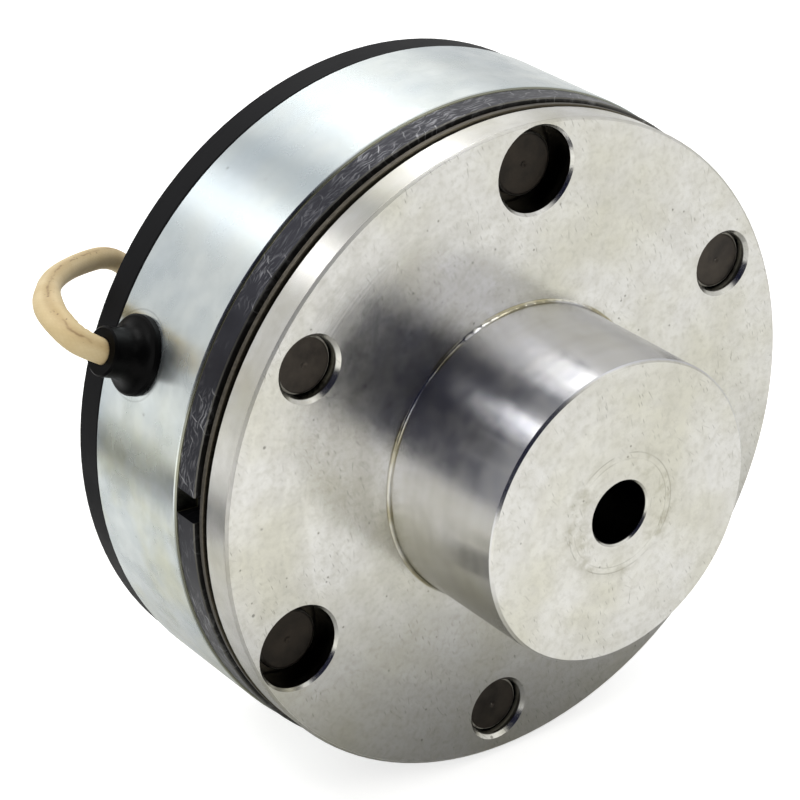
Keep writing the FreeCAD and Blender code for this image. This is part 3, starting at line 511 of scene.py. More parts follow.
def add(tree, kind, inputs=None, out=None, **settings):
    """Adds a node with its settings and links. Its inputs, by name or number, get a value,
    a hex colour or another node's output. Returns the output of the given name, all of
    them for "all", or else the first one in use."""
    made = tree.nodes.new("ShaderNode" + kind)
    for name, value in settings.items():
        setattr(made, name, value)
    for name, value in (inputs or {}).items():
        if isinstance(name, int):
            socket = made.inputs[name]
        else:
            socket = next(s for s in made.inputs if s.name == name and s.enabled)
        if isinstance(value, bpy.types.NodeSocket):
            tree.links.new(value, socket)
        else:
            socket.default_value = linear(value) if isinstance(value, str) else value
    if out == "all":
        return made.outputs
    return made.outputs[out] if out else next((s for s in made.outputs if s.enabled), None)


def new_finish(name):
    """An empty material, its node tree and the place on the object in millimetres."""
    made = bpy.data.materials.new(name)
    made.use_nodes = True
    tree = made.node_tree
    tree.nodes.clear()
    metres = add(tree, "TexCoord", out="Object")
    place = add(tree, "VectorMath", {0: metres, "Scale": 1000.0}, operation="SCALE")
    return made, tree, place


def finished(made, tree, relief, **inputs):
    """Ends a material with its surface shader, whose inputs have an underscore for a
    space. The relief is a height, how strongly it shows and how deep it is in mm."""
    height, strength, deep = relief
    bump = {"Strength": strength, "Distance": deep * MM, "Height": height}
    given = {name.replace("_", " "): value for name, value in inputs.items()}
    given["Normal"] = add(tree, "Bump", bump)
    shader = add(tree, "BsdfPrincipled", given)
    add(tree, "OutputMaterial", {"Surface": shader})
    return made


def blotch(tree, place, size, low, high, detail=3.0):
    """Clouds of a size in mm: noise spread from 0 to 1 between two levels."""
    given = {"Vector": place, "Scale": 1 / size, "Detail": detail, "Roughness": 0.55}
    noise = add(tree, "TexNoise", given)
    return add(tree, "MapRange", {"Value": noise, "From Min": low, "From Max": high})


def band(tree, value, middle, half, soft):
    """1 where a value lies within half a band's width of its middle, fading outside."""
    away = add(tree, "Math", {0: value, 1: middle}, operation="SUBTRACT")
    away = add(tree, "Math", {0: away}, operation="ABSOLUTE")
    return add(tree, "MapRange", {"Value": away, "From Min": half + soft, "From Max": half})


def layered(tree, colour, *layers):
    """A colour with thinner coats over it. Each layer is a hex colour, how much of it
    there is at most, and the masks that are multiplied to say where."""
    for shade, most, *masks in layers:
        share = most
        for mask in masks:
            share = add(tree, "Math", {0: mask, 1: share}, operation="MULTIPLY")
        mixed = {"Factor": share, "A": colour, "B": shade}
        colour = add(tree, "Mix", mixed, data_type="RGBA")
    return colour


def round_axis(tree, place):
    """Distance from the brake's axis, Y, and the angle round the axis from X."""
    x, y, z = add(tree, "SeparateXYZ", {0: place}, out="all")
    flat = add(tree, "VectorMath", {0: place, 1: (1.0, 0.0, 1.0)}, operation="MULTIPLY")
    radius = add(tree, "VectorMath", {0: flat}, out="Value", operation="LENGTH")
    return radius, y, add(tree, "Math", {0: z, 1: x}, operation="ARCTAN2")


def lathe_lines(tree, radius, depth, pitch):
    """Tool marks: noise along radius plus depth, so faces get rings and rims get lines.
    Real ones are 0.1 mm apart; they are drawn as coarse as they need to show."""
    way = add(tree, "Math", {0: radius, 1: depth}, operation="ADD")
    given = {"W": way, "Scale": 1 / pitch, "Detail": 1.0, "Roughness": 0.6}
    return add(tree, "TexNoise", given, noise_dimensions="1D")


def pits(tree, place, spacing, size, level):
    """Small dots: the middles of random cells, kept only where a noise is high."""
    cell = add(tree, "TexVoronoi", {"Vector": place, "Scale": 1 / spacing}, out="Distance")
    given = {"Value": cell, "From Min": 0.6 * size / spacing, "From Max": 0.3 * size / spacing}
    dot = add(tree, "MapRange", given)
    kept = blotch(tree, place, spacing * 1.7, level, level + 0.03, detail=1.0)
    return add(tree, "Math", {0: dot, 1: kept}, operation="MULTIPLY")


def strokes(tree, flat, spacing, length, width, lean, spread):
    """Scratches on a flat place in mm: one thin ellipse in each random cell, turned by the
    lean give or take the spread, in radians, and each of its own strength."""
    given = {"Vector": flat, "Scale": 1 / spacing}
    cells = add(tree, "TexVoronoi", given, out="all", voronoi_dimensions="2D")
    off = add(tree, "VectorMath", {0: flat, 1: cells["Position"]}, operation="SUBTRACT")
    own = {"Value": cells["Color"], "To Min": lean - spread, "To Max": lean + spread}
    angle = add(tree, "MapRange", own)
    turned = {"Vector": off, "Angle": angle}
    off = add(tree, "VectorRotate", turned, rotation_type="Z_AXIS")
    scale = (1 / length, 1 / width, 0.0)
    off = add(tree, "VectorMath", {0: off, 1: scale}, operation="MULTIPLY")
    far = add(tree, "VectorMath", {0: off}, out="Value", operation="LENGTH")
    mark = add(tree, "MapRange", {"Value": far, "From Min": 0.5, "From Max": 0.25})
    own = add(tree, "MapRange", {"Value": cells["Color"], "From Min": 0.3, "From Max": 0.75})
    return add(tree, "Math", {0: mark, 1: own}, operation="MULTIPLY")


# Radii of the hub and the depth of its face, in mm.
DRILLED_BORE = 4.25
WIDEST_HOLE = 5.65
BOSS_RADIUS = 20.1
HUB_RADIUS = 44.2
HUB_FACE = -32.95


def shaded_hole_walls(tree, radius, depth, angle):
    """Mask of the shade painted into the bore and holes: 1 on the walls of the bore and of the
    large holes, and less on those of the shallow small holes, under their bevelled mouths. The
    angle is folded to one sixth of a turn, so that one hole's middle stands for all."""
    bore = add(tree, "Math", {0: radius, 1: DRILLED_BORE}, operation="LESS_THAN")
    turned = add(tree, "Math", {0: angle, 1: FIRST_HOLE - SIXTH / 2}, operation="SUBTRACT")
    folded = add(tree, "Math", {0: turned, 1: SIXTH, 2: 0.0}, operation="WRAP")
    swing = add(tree, "Math", {0: folded, 1: SIXTH / 2}, operation="SUBTRACT")
    cosine = add(tree, "Math", {0: swing}, operation="COSINE")
    sine = add(tree, "Math", {0: swing}, operation="SINE")
    along = add(tree, "Math", {0: radius, 1: cosine}, operation="MULTIPLY")
    out = add(tree, "Math", {0: along, 1: HOLE_CIRCLE}, operation="SUBTRACT")
    aside = add(tree, "Math", {0: radius, 1: sine}, operation="MULTIPLY")
    off = add(tree, "CombineXYZ", {"X": out, "Y": aside})
    far = add(tree, "VectorMath", {0: off}, out="Value", operation="LENGTH")
    near = add(tree, "Math", {0: far, 1: WIDEST_HOLE}, operation="LESS_THAN")
    under = add(tree, "Math", {0: depth, 1: HUB_FACE + 0.5}, operation="GREATER_THAN")
    holes = add(tree, "Math", {0: near, 1: under}, operation="MULTIPLY")
    large = {"Value": far, "From Min": 4.7, "From Max": 5.2, "To Min": 0.6}
    large = add(tree, "MapRange", large)
    holes = add(tree, "Math", {0: holes, 1: large}, operation="MULTIPLY")
    return add(tree, "Math", {0: bore, 1: holes}, operation="MAXIMUM")


def turned_steel():
    """Bright mild steel, faced and turned: rings round the axis, cloudy yellow stains where the
    oil dried, small dark pits and scratches, and stain arcs round the pilot bore. Light is painted
    in three places: a bluish tint on the top half of the boss is a painted reflection, a
    yellow-brown line in its root is a painted highlight, and the walls of the bore and the holes
    are painted near black as shade, so they hardly mirror anything. The lathe's grooves draw
    reflections on the sides out along the axis, and the flange's front edge is filed."""
    made, tree, place = new_finish("turned_steel")
    radius, depth, angle = round_axis(tree, place)
    x, _, z = add(tree, "SeparateXYZ", {0: place}, out="all")
    face = add(tree, "CombineXYZ", {"X": x, "Y": z})
    fine = lathe_lines(tree, radius, depth, 0.6)
    broad = lathe_lines(tree, radius, depth, 2.6)
    clouds = blotch(tree, place, 14.0, 0.42, 0.66)
    mottle = blotch(tree, place, 2.6, 0.38, 0.68)
    shade = add(tree, "MapRange", {"Value": broad, "From Min": 0.35, "From Max": 0.65})
    boss = band(tree, radius, BOSS_RADIUS, 0.05, 0.2)
    rim = band(tree, radius, HUB_RADIUS, 0.05, 0.2)
    sides = add(tree, "Math", {0: boss, 1: rim}, operation="MAXIMUM")
    faces = add(tree, "Math", {0: 1.0, 1: sides}, operation="SUBTRACT")
    bluish_reflection_half = add(tree, "MapRange", {"Value": z, "From Min": -4.0, "From Max": 9.0})
    scuffs = strokes(tree, face, 3.1, 1.8, 0.14, 0.6, 1.4)
    ticks = strokes(tree, face, 1.3, 0.9, 0.13, 0.9, 0.6)
    worn = blotch(tree, place, 9.0, 0.44, 0.58)
    stain = band(tree, radius, 7.0, 1.2, 1.2)
    stained = blotch(tree, place, 1.5, 0.42, 0.66, detail=4.0)
    stain_side = blotch(tree, place, 6.0, 0.42, 0.56)
    arc = band(tree, radius, 8.1, 0.03, 0.10)
    inner_arc = band(tree, radius, 7.3, 0.02, 0.08)
    arc_side = blotch(tree, place, 7.0, 0.44, 0.52)
    speck = blotch(tree, place, 0.8, 0.46, 0.74, detail=4.0)
    root = band(tree, radius, BOSS_RADIUS + 0.15, 0.25, 0.15)
    at_face = band(tree, depth, HUB_FACE - 0.15, 0.32, 0.10)
    root_line_breaks = blotch(tree, place, 9.0, 0.38, 0.52)
    colour = layered(
        tree,
        "#DAD9D5",
        ("#CFCDC0", 1.0, clouds),
        # painted reflection: the top half of the boss side tinted bluish
        ("#C9CBDA", 0.55, boss, bluish_reflection_half),
        ("#BFBCB2", 0.30, mottle),
        ("#ABA9A4", 0.14, shade),
        ("#8D8A80", 0.55, scuffs, worn, faces),
        ("#ABA89A", 0.35, speck, faces),
        ("#A19D8B", 0.55, stain, stained, stain_side),
        ("#8B887C", 0.45, arc, arc_side),
        ("#8B887C", 0.35, inner_arc, arc_side),
        ("#6E6A5E", 0.55, ticks, worn, faces),
        ("#5E5A4E", 0.55, pits(tree, place, 1.7, 0.34, 0.56), faces),
        ("#4E4A40", 0.60, pits(tree, place, 4.3, 0.50, 0.58), faces),
        # painted highlight: a yellow-brown line along the boss's root
        ("#8F8660", 0.75, root, at_face, root_line_breaks),
        # painted shade: the walls of the bore and the holes near black
        ("#181614", 0.92, shaded_hole_walls(tree, radius, depth, angle)),
    )
    rough = add(tree, "MapRange", {"Value": mottle, "To Min": 0.21, "To Max": 0.27})
    at_rim = band(tree, radius, HUB_RADIUS - 0.15, 0.20, 0.04)
    at_front = band(tree, depth, HUB_FACE + 0.20, 0.20, 0.04)
    filed = add(tree, "Math", {0: at_rim, 1: at_front}, operation="MULTIPLY")
    rough = add(tree, "Math", {0: filed, 1: 0.3, 2: rough}, operation="MULTIPLY_ADD")
    stretched = add(tree, "Math", {0: sides, 1: 0.88}, operation="MULTIPLY")
    return finished(
        made,
        tree,
        Base_Color=colour,
        Metallic=1.0,
        Roughness=rough,
        Anisotropic=stretched,
        Tangent=add(tree, "CombineXYZ", {"Y": 1.0}),
        relief=(fine, 0.25, 0.012),
    )


# The cable's outlet, the radius of the mark round it, and the rim's front edge.
GROMMET_ANGLE = math.radians(158.2)
GROMMET_DEPTH = -10.1
GROMMET_RING = 5.70
HOUSING_EDGE = -22.72


def zinc_plate():
    """Electroplated zinc with clear blue passivation over a turned rim: a silvery, softly
    mirroring coat with bluish clouds, straw coloured ones that grow stronger lower down, a thin
    yellow edge and a fine ring pressed into it round the grommet."""
    made, tree, place = new_finish("zinc_plate")
    radius, depth, _ = round_axis(tree, place)
    x, _, z = add(tree, "SeparateXYZ", {0: place}, out="all")
    low = add(tree, "MapRange", {"Value": z, "From Min": 16.0, "From Max": 4.0, "To Min": 0.15})
    veil = blotch(tree, place, 4.0, 0.35, 0.75)
    outlet = (math.cos(GROMMET_ANGLE), 0.0, math.sin(GROMMET_ANGLE))
    moved = add(tree, "VectorMath", {0: place, 1: (0.0, GROMMET_DEPTH, 0.0)}, operation="SUBTRACT")
    across = add(tree, "VectorMath", {0: moved, 1: outlet}, operation="CROSS_PRODUCT")
    far = add(tree, "VectorMath", {0: across}, out="Value", operation="LENGTH")
    outside = add(tree, "Math", {0: radius, 1: 44.0}, operation="GREATER_THAN")
    left = add(tree, "Math", {0: x, 1: 0.0}, operation="LESS_THAN")
    colour = layered(
        tree,
        "#DDE3E2",
        ("#CBD5DB", 0.8, blotch(tree, place, 16.0, 0.40, 0.64)),
        ("#D3D4BA", 0.70, blotch(tree, place, 10.0, 0.44, 0.66), low),
        ("#A9B1B0", 0.28, veil),
        ("#6F6C50", 0.75, band(tree, depth, HOUSING_EDGE, 0.08, 0.06)),
        ("#8A8C86", 0.35, pits(tree, place, 3.4, 0.5, 0.58)),
        ("#5C5F5C", 0.20, band(tree, far, GROMMET_RING, 0.05, 0.12), outside, left),
    )
    fine = lathe_lines(tree, radius, depth, 0.8)
    rough = add(tree, "MapRange", {"Value": veil, "To Min": 0.21, "To Max": 0.31})
    return finished(
        made,
        tree,
        Base_Color=colour,
        Metallic=1.0,
        Roughness=rough,
        Anisotropic=0.75,
        Tangent=add(tree, "CombineXYZ", {"Y": 1.0}),
        relief=(fine, 0.14, 0.012),
    )


ARMATURE_RADIUS = 44.7
ARMATURE_BACK_EDGE, ARMATURE_FRONT_EDGE = -22.9, -26.52


def ground_steel():
    """Nitrided armature steel, ground on its faces: dark blue grey, with handling
    scratches on the rim where the bright metal shows, and worn edges."""
    made, tree, place = new_finish("ground_steel")
    _, depth, angle = round_axis(tree, place)
    run = add(tree, "Math", {0: angle, 1: ARMATURE_RADIUS}, operation="MULTIPLY")
    rolled = add(tree, "CombineXYZ", {"X": run, "Y": depth})
    cloud = blotch(tree, place, 5.0, 0.30, 0.72)
    wear = blotch(tree, place, 7.0, 0.36, 0.58)
    sway = add(tree, "TexNoise", {"Vector": place, "Scale": 0.3, "Detail": 2.0}, out="Color")
    swayed = {0: sway, 1: (2.4, 2.4, 0.0), 2: rolled}
    rolled = add(tree, "VectorMath", swayed, operation="MULTIPLY_ADD")
    long_marks = strokes(tree, rolled, 1.9, 2.2, 0.22, 0.5, 0.9)
    short_marks = strokes(tree, rolled, 0.8, 0.9, 0.17, -0.7, 1.3)
    drawn = {"Vector": rolled, "Rotation": (0.0, 0.0, 0.45), "Scale": (0.5, 3.2, 1.0)}
    drawn = add(tree, "Mapping", drawn)
    smears = blotch(tree, drawn, 1.0, 0.50, 0.70)
    colour = layered(
        tree,
        "#28282E",
        ("#36363C", 1.0, cloud),
        ("#9C9CA0", 0.80, smears, wear),
        ("#B9B9BB", 0.70, long_marks, wear),
        ("#98989B", 0.50, short_marks, wear),
        ("#8D8A6A", 0.70, band(tree, depth, ARMATURE_BACK_EDGE, 0.05, 0.08)),
        ("#7C7A70", 0.60, band(tree, depth, ARMATURE_FRONT_EDGE, 0.05, 0.06)),
    )
    rough = add(tree, "MapRange", {"Value": cloud, "To Min": 0.34, "To Max": 0.46})
    return finished(
        made,
        tree,
        Base_Color=colour,
        Metallic=0.9,
        Roughness=rough,
        relief=(cloud, 0.2, 0.01),
    )


SPRING_BRIGHT_EDGE = -27.9


def spring_strip():
    """Hardened and tempered spring strip: dark brown grey, with a slightly brighter sheared
    edge and a rolled grain."""
    made, tree, place = new_finish("spring_strip")
    _, depth, _ = round_axis(tree, place)
    drawn = add(tree, "Mapping", {"Vector": place, "Scale": (0.26, 2.1, 3.1)})
    grain = add(tree, "TexNoise", {"Vector": drawn, "Scale": 1.0, "Detail": 3.0})
    share = add(tree, "MapRange", {"Value": grain, "From Min": 0.35, "From Max": 0.65})
    colour = layered(
        tree,
        "#4A463F",
        ("#5E5950", 1.0, share),
        ("#6A6353", 0.45, band(tree, depth, SPRING_BRIGHT_EDGE, 0.04, 0.08)),
    )
    return finished(
        made,
        tree,
        Base_Color=colour,
        Metallic=1.0,
        Roughness=0.40,
        relief=(grain, 0.15, 0.01),
    )


def black_oxide(name, dark, brown, roughness, bare):
    """Steel blackened in a hot salt bath: dark brown to black, with a soft metal sheen, faint
    marks from the heading tool, and rounded edges worn more or less bare, where dull grey metal
    shows; this pale grey on the edges is also a painted highlight, the bright arc on a rivet's
    rim. An edge is where the surface leans between axis and side."""
    made, tree, place = new_finish(name)
    lean = {0: add(tree, "TexCoord", out="Normal"), 1: (0.0, 1.0, 0.0)}
    lean = add(tree, "VectorMath", lean, out="Value", operation="DOT_PRODUCT")
    lean = add(tree, "Math", {0: lean}, operation="ABSOLUTE")
    cloud = blotch(tree, place, 3.0, 0.35, 0.65)
    grain = blotch(tree, place, 0.5, 0.35, 0.70, detail=1.0)
    edge_wear_and_highlight = blotch(tree, place, 2.0, 0.30, 0.50)
    edge = band(tree, lean, 0.50, 0.30, 0.12)
    edge = add(tree, "Math", {0: edge, 1: edge_wear_and_highlight}, operation="MULTIPLY")
    # pale grey worn edges, also a painted highlight on the rims
    colour = layered(tree, dark, (brown, 1.0, cloud), ("#D6D2C6", bare, edge))
    metal = add(tree, "MapRange", {"Value": edge, "To Min": 0.85, "To Max": 0.85 - 0.75 * bare})
    given = {"Value": cloud, "To Min": roughness - 0.06, "To Max": roughness + 0.08}
    rough = add(tree, "MapRange", given)
    return finished(
        made,
        tree,
        Base_Color=colour,
        Metallic=metal,
        Roughness=rough,
        relief=(grain, 0.3, 0.02),
    )


def woven_sleeve():
    """Glass yarn sleeve soaked in varnish: cream with a tan cast, a faint diagonal weave of 0.7
    mm, drawn as coarse as it needs to show, painted shade as tan bands along the long creases
    between the two leads, and thin brown lines of grime in those creases."""
    made, tree, place = new_finish("woven_sleeve")
    along = add(tree, "UVMap", uv_map="along")
    along = add(tree, "VectorMath", {0: along, "Scale": 1 / UV_PER_MM}, operation="SCALE")
    turn, length, _ = add(tree, "SeparateXYZ", {0: along}, out="all")
    weave = []
    for sense in ("ADD", "SUBTRACT"):
        way = add(tree, "Math", {0: turn, 1: length}, operation=sense)
        way = add(tree, "Math", {0: way, 1: 32 * math.pi / GIRTH}, operation="MULTIPLY")
        weave.append(add(tree, "Math", {0: way}, operation="SINE"))
    height = add(tree, "Math", {0: weave[0], 1: weave[1]}, operation="MAXIMUM")
    cloud = blotch(tree, place, 5.0, 0.35, 0.68)
    wander = add(tree, "TexNoise", {"Vector": place, "Scale": 0.5, "Detail": 3.0})
    drawn = add(tree, "Mapping", {"Vector": along, "Scale": (1.0, 0.45, 1.0)})
    near = {"Value": length, "From Min": 90.0, "From Max": 40.0, "To Min": 0.35}
    near = add(tree, "MapRange", near)
    layers = [("#CBB485", 1.0, cloud), ("#A98F62", 0.06, height)]
    dots = pits(tree, place, 0.8, 0.34, 0.46)
    broken = blotch(tree, drawn, 1.3, 0.46, 0.60, detail=2.0)
    for share in (0.25, 0.75):
        crease_shade = band(tree, turn, share * GIRTH, 0.20, 0.75)
        middle = {0: wander, 1: 1.2, 2: share * GIRTH - 0.6}
        middle = add(tree, "Math", middle, operation="MULTIPLY_ADD")
        aside = add(tree, "Math", {0: turn, 1: middle}, operation="SUBTRACT")
        # painted shade: a tan band along each crease
        layers.append(("#AE9262", 0.50, crease_shade, near))
        layers.append(("#80623A", 0.65, band(tree, aside, 0.0, 0.04, 0.20), broken, near))
        layers.append(("#6B4E2C", 0.65, band(tree, aside, 0.0, 0.4, 0.4), dots, near))
    return finished(
        made,
        tree,
        Base_Color=layered(tree, "#D8C499", *layers),
        Roughness=0.55,
        Specular_IOR_Level=0.4,
        relief=(height, 0.22, 0.03),
    )


def grained(
    name, dark, light, grain, clouds=(6.0, 0.35, 0.65), rough=0.42, most=1.0, gloss=0.5,
    relief=(0.2, 0.02),
):
    """Moulded, cast or painted finish: a dark colour with at most so much of a light one in
    slight clouds, and a fine grain of a size in mm, whose relief is a strength and a depth
    in mm. Its roughness is even, or from outside the clouds to inside them."""
    made, tree, place = new_finish(name)
    cloud = blotch(tree, place, *clouds)
    fine = blotch(tree, place, grain, 0.30, 0.70, detail=1.0)
    if isinstance(rough, tuple):
        given = {"Value": cloud, "To Min": rough[0], "To Max": rough[1]}
        rough = add(tree, "MapRange", given)
    return finished(
        made,
        tree,
        Base_Color=layered(tree, dark, (light, most, cloud)),
        Roughness=rough,
        Specular_IOR_Level=gloss,
        relief=(fine, *relief),
    )


def enamelled_copper():
    """Layers of enamelled copper wire of 0.5 mm, wound tight round the bobbin."""
    made, tree, place = new_finish("enamelled_copper")
    radius, depth, _ = round_axis(tree, place)
    way = add(tree, "Math", {0: radius, 1: depth}, operation="ADD")
    way = add(tree, "Math", {0: way, 1: 4 * math.pi}, operation="MULTIPLY")
    wave = add(tree, "Math", {0: way}, operation="SINE")
    share = add(tree, "MapRange", {"Value": wave, "From Min": -1.0, "From Max": 1.0})
    return finished(
        made,
        tree,
        Base_Color=layered(tree, "#7A3A1E", ("#C9743F", 1.0, share)),
        Metallic=0.9,
        Roughness=0.3,
        relief=(wave, 0.6, 0.1),
    )


def mottled(name, ground, patch, clouds, relief, metallic, roughness):
    """Plain finish of one colour with patches of another: clouds of a size in mm between
    two levels, whose relief is a strength and a depth in mm."""
    made, tree, place = new_finish(name)
    cloud = blotch(tree, place, *clouds)
    return finished(
        made,
        tree,
        Base_Color=layered(tree, ground, (patch, 1.0, cloud)),
        Metallic=metallic,
        Roughness=roughness,
        relief=(cloud, *relief),
    )


ZINC = zinc_plate()
SCREW = black_oxide("blackened_screw", "#1D1D1F", "#2B2A29", 0.36, 0.5)
# Zinc plated washers: pale grey, tumbled, with small dings.
DINGS = (0.8, 0.40, 0.70)
WASHER = mottled("plated_washer", "#B8BABA", "#8F918F", DINGS, (0.3, 0.02), 1.0, 0.36)
# Copper strands dipped in solder: bright grey with dull patches.
DULL = (1.0, 0.35, 0.65)
TINNED = mottled("tinned_wire", "#C9CACC", "#9FA1A3", DULL, (0.2, 0.02), 1.0, 0.34)
# Pressed and sintered ferrite: charcoal, matt and slightly gritty.
GRIT = (0.5, 0.30, 0.75, 1.0)
FERRITE = mottled("sintered_ferrite", "#2B2B2E", "#3D3D40", GRIT, (0.4, 0.03), 0.2, 0.7)
# Red PVC: an even red with slight clouds.
LEAD = grained("lead_pvc", "#8E1F1A", "#A12A22", 0.8)
# Black electro-dip paint on steel: even, nearly matt, with a faint orange peel and dust in
# it that keeps it from looking pure black.
COAT = grained(
    "black_coat", "#0F0F11", "#161618", 0.7, (9.0, 0.35, 0.65),
    rough=(0.50, 0.62), gloss=0.08, relief=(0.25, 0.02),
)
# Moulded black nitrile rubber: near black, with a slight bloom and a weak, fairly tight
# gloss on its rims.
RUBBER = grained(
    "soft_rubber", "#050505", "#0D0C0C", 0.4, (2.4, 0.45, 0.75),
    rough=(0.32, 0.50), most=0.6, gloss=0.05, relief=(0.15, 0.01),
)
SPRING = spring_strip()
FINISHES = {
    "rear_flange": COAT,
    "magnet_housing": ZINC,
    "inner_pole": ZINC,
    "pole_screws": SCREW,
    "core_screws": SCREW,
    "hub": turned_steel(),
    "armature_disc": ground_steel(),
    # The hub rivets get the palest edges, which also paint the bright arc on their rims.
    "hub_rivets": black_oxide("blackened_hub_rivet", "#302C28", "#464039", 0.40, 1.0),
    "armature_rivets": black_oxide("blackened_rivet", "#231F1A", "#352F28", 0.40, 0.2),
    "hub_washers": WASHER,
    "armature_washers": WASHER,
    "cable_grommet": RUBBER,
    "coil_bobbin": grained("glass_filled_nylon", "#C9BE9E", "#D6CDB2", 0.6, rough=0.5),
    "coil_winding": enamelled_copper(),
    "potting_ring": grained("cast_epoxy", "#1B1714", "#2A2320", 2.0, rough=0.3),
    "lead_wires": LEAD,
    "lead_covers": LEAD,
    "lead_strands": TINNED,
    "cable": woven_sleeve(),
    "cable_straps": grained("tie_nylon", "#D9D6CC", "#E6E3DA", 0.5),
    **{f"magnet_{number}": FERRITE for number in range(1, 9)},
    **{arm.name: SPRING for arm in SPRING_ARMS},
}
for name, finish in FINISHES.items():
    mesh = bpy.data.objects[name].data
    if not mesh.materials:
        mesh.materials.append(finish)
    for slot in bpy.data.objects[name].material_slots:
        slot.material = finish

# Studio

FLOOR_SIZE = 12.0
# How brightly the floor glows to the camera, and the place along X in mm of a dark band painted
# into its reflections as shade.
FLOOR_GLOW = 0.66
DARK_BAND_X = -122.0


def rays(tree):
    """1 for what the camera sees, also through clear things, and 1 for reflections."""
    ray = add(tree, "LightPath", out="all")
    seen = {0: ray["Is Camera Ray"], 1: ray["Is Transmission Ray"]}
    return add(tree, "Math", seen, operation="MAXIMUM"), ray["Is Glossy Ray"]


def studio_floor():
    """Pale floor at the foot of the brake: its own light makes it white to the camera, and the
    shadow of the brake stays on it. In reflections it is darkened by painted shade near the
    brake's front, brighter further out, to the left and behind, and a dark band painted on the
    left darkens the metal's reflections there."""
    half = FLOOR_SIZE / 2
    mesh = bpy.data.meshes.new("floor")
    corners = [(-half, -half), (half, -half), (half, half), (-half, half)]
    mesh.from_pydata([(x, y, FLOOR * MM) for x, y in corners], [], [(0, 1, 2, 3)])
    made, tree, place = new_finish("pale_paper")
    x, y, _ = add(tree, "SeparateXYZ", {0: place}, out="all")
    clear, glossy = rays(tree)
    clear = add(tree, "Math", {0: clear, 1: FLOOR_GLOW}, operation="MULTIPLY")
    front = {"Value": y, "From Min": -40.0, "From Max": -95.0, "To Min": 0.02, "To Max": 0.36}
    front = add(tree, "MapRange", front)
    behind = {"Value": y, "From Min": 0.0, "From Max": 35.0, "To Max": 0.20}
    behind = add(tree, "MapRange", behind)
    to_left = {"Value": x, "From Min": 90.0, "From Max": -60.0, "To Min": 0.82, "To Max": 1.5}
    to_left = add(tree, "MapRange", to_left)
    front = add(tree, "Math", {0: front, 1: to_left}, operation="MULTIPLY")
    level = add(tree, "Math", {0: front, 1: behind}, operation="MAXIMUM")
    # painted shade: a dark band on the paper, seen only in reflections
    painted_dark_band = band(tree, x, DARK_BAND_X, 12.0, 19.0)
    beside = add(tree, "MapRange", {"Value": y, "From Min": -60.0, "From Max": -20.0})
    painted_dark_band = add(tree, "Math", {0: painted_dark_band, 1: beside}, operation="MULTIPLY")
    band_dimming = add(tree, "MapRange", {"Value": painted_dark_band, "To Min": 1.0, "To Max": 0.2})
    level = add(tree, "Math", {0: level, 1: band_dimming}, operation="MULTIPLY")
    mirrored = add(tree, "Math", {0: glossy, 1: level}, operation="MULTIPLY")
    strength = add(tree, "Math", {0: clear, 1: mirrored}, operation="MAXIMUM")
    shade = band(tree, y, -44.0, 8.0, 36.0)
    sheet = layered(
        tree,
        "#D8D8D6",
        ("#8E8E8C", 0.7, shade, glossy),
        ("#2A2F38", 1.0, painted_dark_band, glossy),
    )
    paper = add(tree, "BsdfDiffuse", {"Color": sheet})
    own = add(tree, "Emission", {"Strength": strength})
    both = add(tree, "AddShader", {0: paper, 1: own})
    add(tree, "OutputMaterial", {"Surface": both})
    mesh.materials.append(made)
    link(bpy.data.objects.new("floor", mesh))


def studio_world():
    """White surroundings to the camera, a little darker to the brake and in its
    reflections."""
    world = bpy.data.worlds.new("studio")
    bpy.context.scene.world = world
    world.use_nodes = True
    tree = world.node_tree
    tree.nodes.clear()
    clear, glossy = rays(tree)
    given = {"Value": glossy, "To Min": 0.85, "To Max": 0.78}
    level = add(tree, "MapRange", given)
    strength = add(tree, "Math", {0: level, 1: clear}, operation="MAXIMUM")
    back = add(tree, "Background", {"Color": (1, 1, 1, 1), "Strength": strength})
    add(tree, "OutputWorld", {"Surface": back})


def softbox(name, direction, distance, size, power, lights_matt=True):
    """Large soft lamp that looks at the brake from a direction. The second side of its
    size runs along the brake's axis as far as it can. Some are seen in reflections only
    and light no matt surface."""
    lamp = bpy.data.lights.new(name, "AREA")
    lamp.shape = "RECTANGLE"
    lamp.size, lamp.size_y = size
    lamp.energy = power
    way = Vector(direction).normalized()
    side = Vector((0, 1, 0)).cross(way).normalized()
    box = link(bpy.data.objects.new(name, lamp))
    box.location = way * distance
    box.rotation_mode = "QUATERNION"
    turn = Matrix((side, way.cross(side), way)).transposed()
    box.rotation_quaternion = turn.to_quaternion()
    box.visible_diffuse = lights_matt


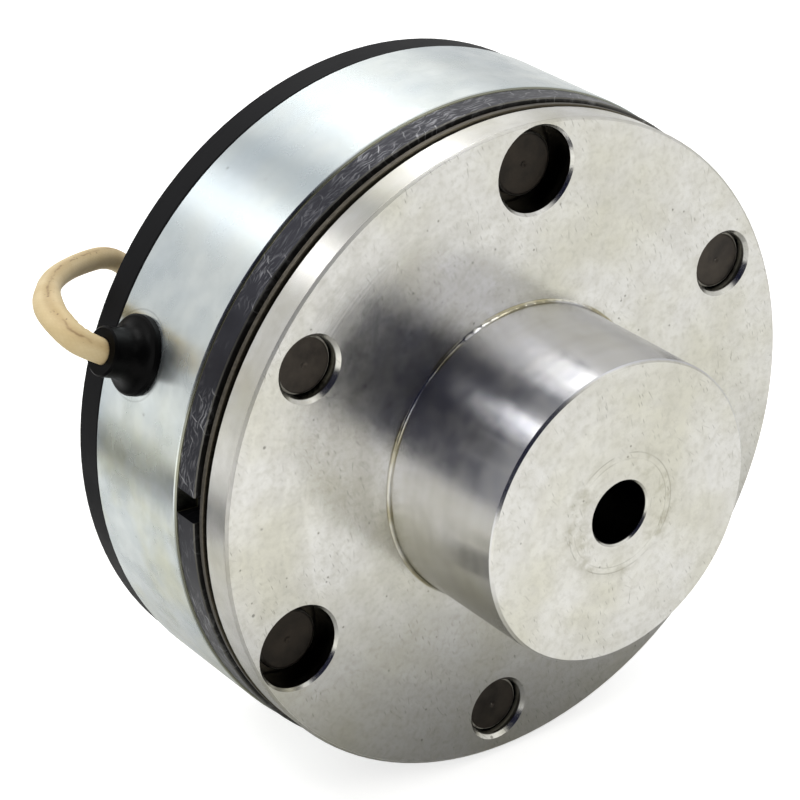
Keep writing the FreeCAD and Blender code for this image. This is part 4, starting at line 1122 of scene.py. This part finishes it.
def dark_card(name, centre, half_side, half_up, colour, corners):
    """A dark part of the light tent, seen only in reflections: a flat card round a centre,
    with two half extents as vectors, all in metres. Many corners make an ellipse."""
    turn = (np.arange(corners) + 0.5) * 2 * np.pi / corners
    reach = 1 / math.cos(math.pi / corners)
    rim = np.array(centre) + reach * (
        np.cos(turn)[:, None] * np.array(half_side) + np.sin(turn)[:, None] * np.array(half_up)
    )
    mesh = bpy.data.meshes.new(name)
    mesh.from_pydata(rim.tolist(), [], [list(range(corners))])
    made, tree, _ = new_finish(name)
    dark = add(tree, "Emission", {"Color": colour, "Strength": 1.0})
    add(tree, "OutputMaterial", {"Surface": dark})
    mesh.materials.append(made)
    card = link(bpy.data.objects.new(name, mesh))
    card.visible_camera = False
    card.visible_diffuse = False
    card.visible_shadow = False
    card.visible_transmission = False


studio_floor()
studio_world()
# Direction, distance and size in metres, and power in watts.
softbox("back_right_light", (0.48, 0.85, 0.77), 1.25, (0.92, 1.2), 1.2)
softbox("back_left_light", (-0.44, 0.85, 0.80), 1.25, (0.27, 1.2), 0.40)
softbox("top_right_light", (0.21, 0.25, 0.93), 1.0, (0.24, 0.7), 2.0)
softbox("top_left_light", (-0.51, 0.30, 0.80), 1.0, (0.14, 0.6), 0.85)
softbox("right_strip", (0.12, 0.17, 0.95), 0.98, (0.50, 0.7), 3.4, lights_matt=False)
softbox("left_strip", (-0.56, 0.22, 0.78), 0.98, (0.24, 0.6), 1.3, lights_matt=False)
softbox("front_light", (0.5, -0.7, 0.5), 1.0, (0.9, 0.6), 0.7)
softbox("side_fill", (-0.95, -0.15, 0.35), 1.0, (0.5, 0.5), 0.8)
# The camera's opening in the tent is a dark ellipse just behind the camera, square to the
# way from the brake. The gap is where two of the tent's walls meet, above and behind.
way = Vector((-0.45, -0.72, 0.42)).normalized()
across = way.cross(Vector((0, 1, 0))).normalized()
dark_card("camera_opening", way * 0.46, across * 0.29, across.cross(way) * 0.48, "#191B33", 48)
gap = (-0.115, 0.95, 0.79)
dark_card("tent_gap", gap, (0.032, 0.0, 0.005), (0.0, 0.65, 0.0), "#A3AAB0", 4)
bpy.context.scene.view_settings.view_transform = "Standard"
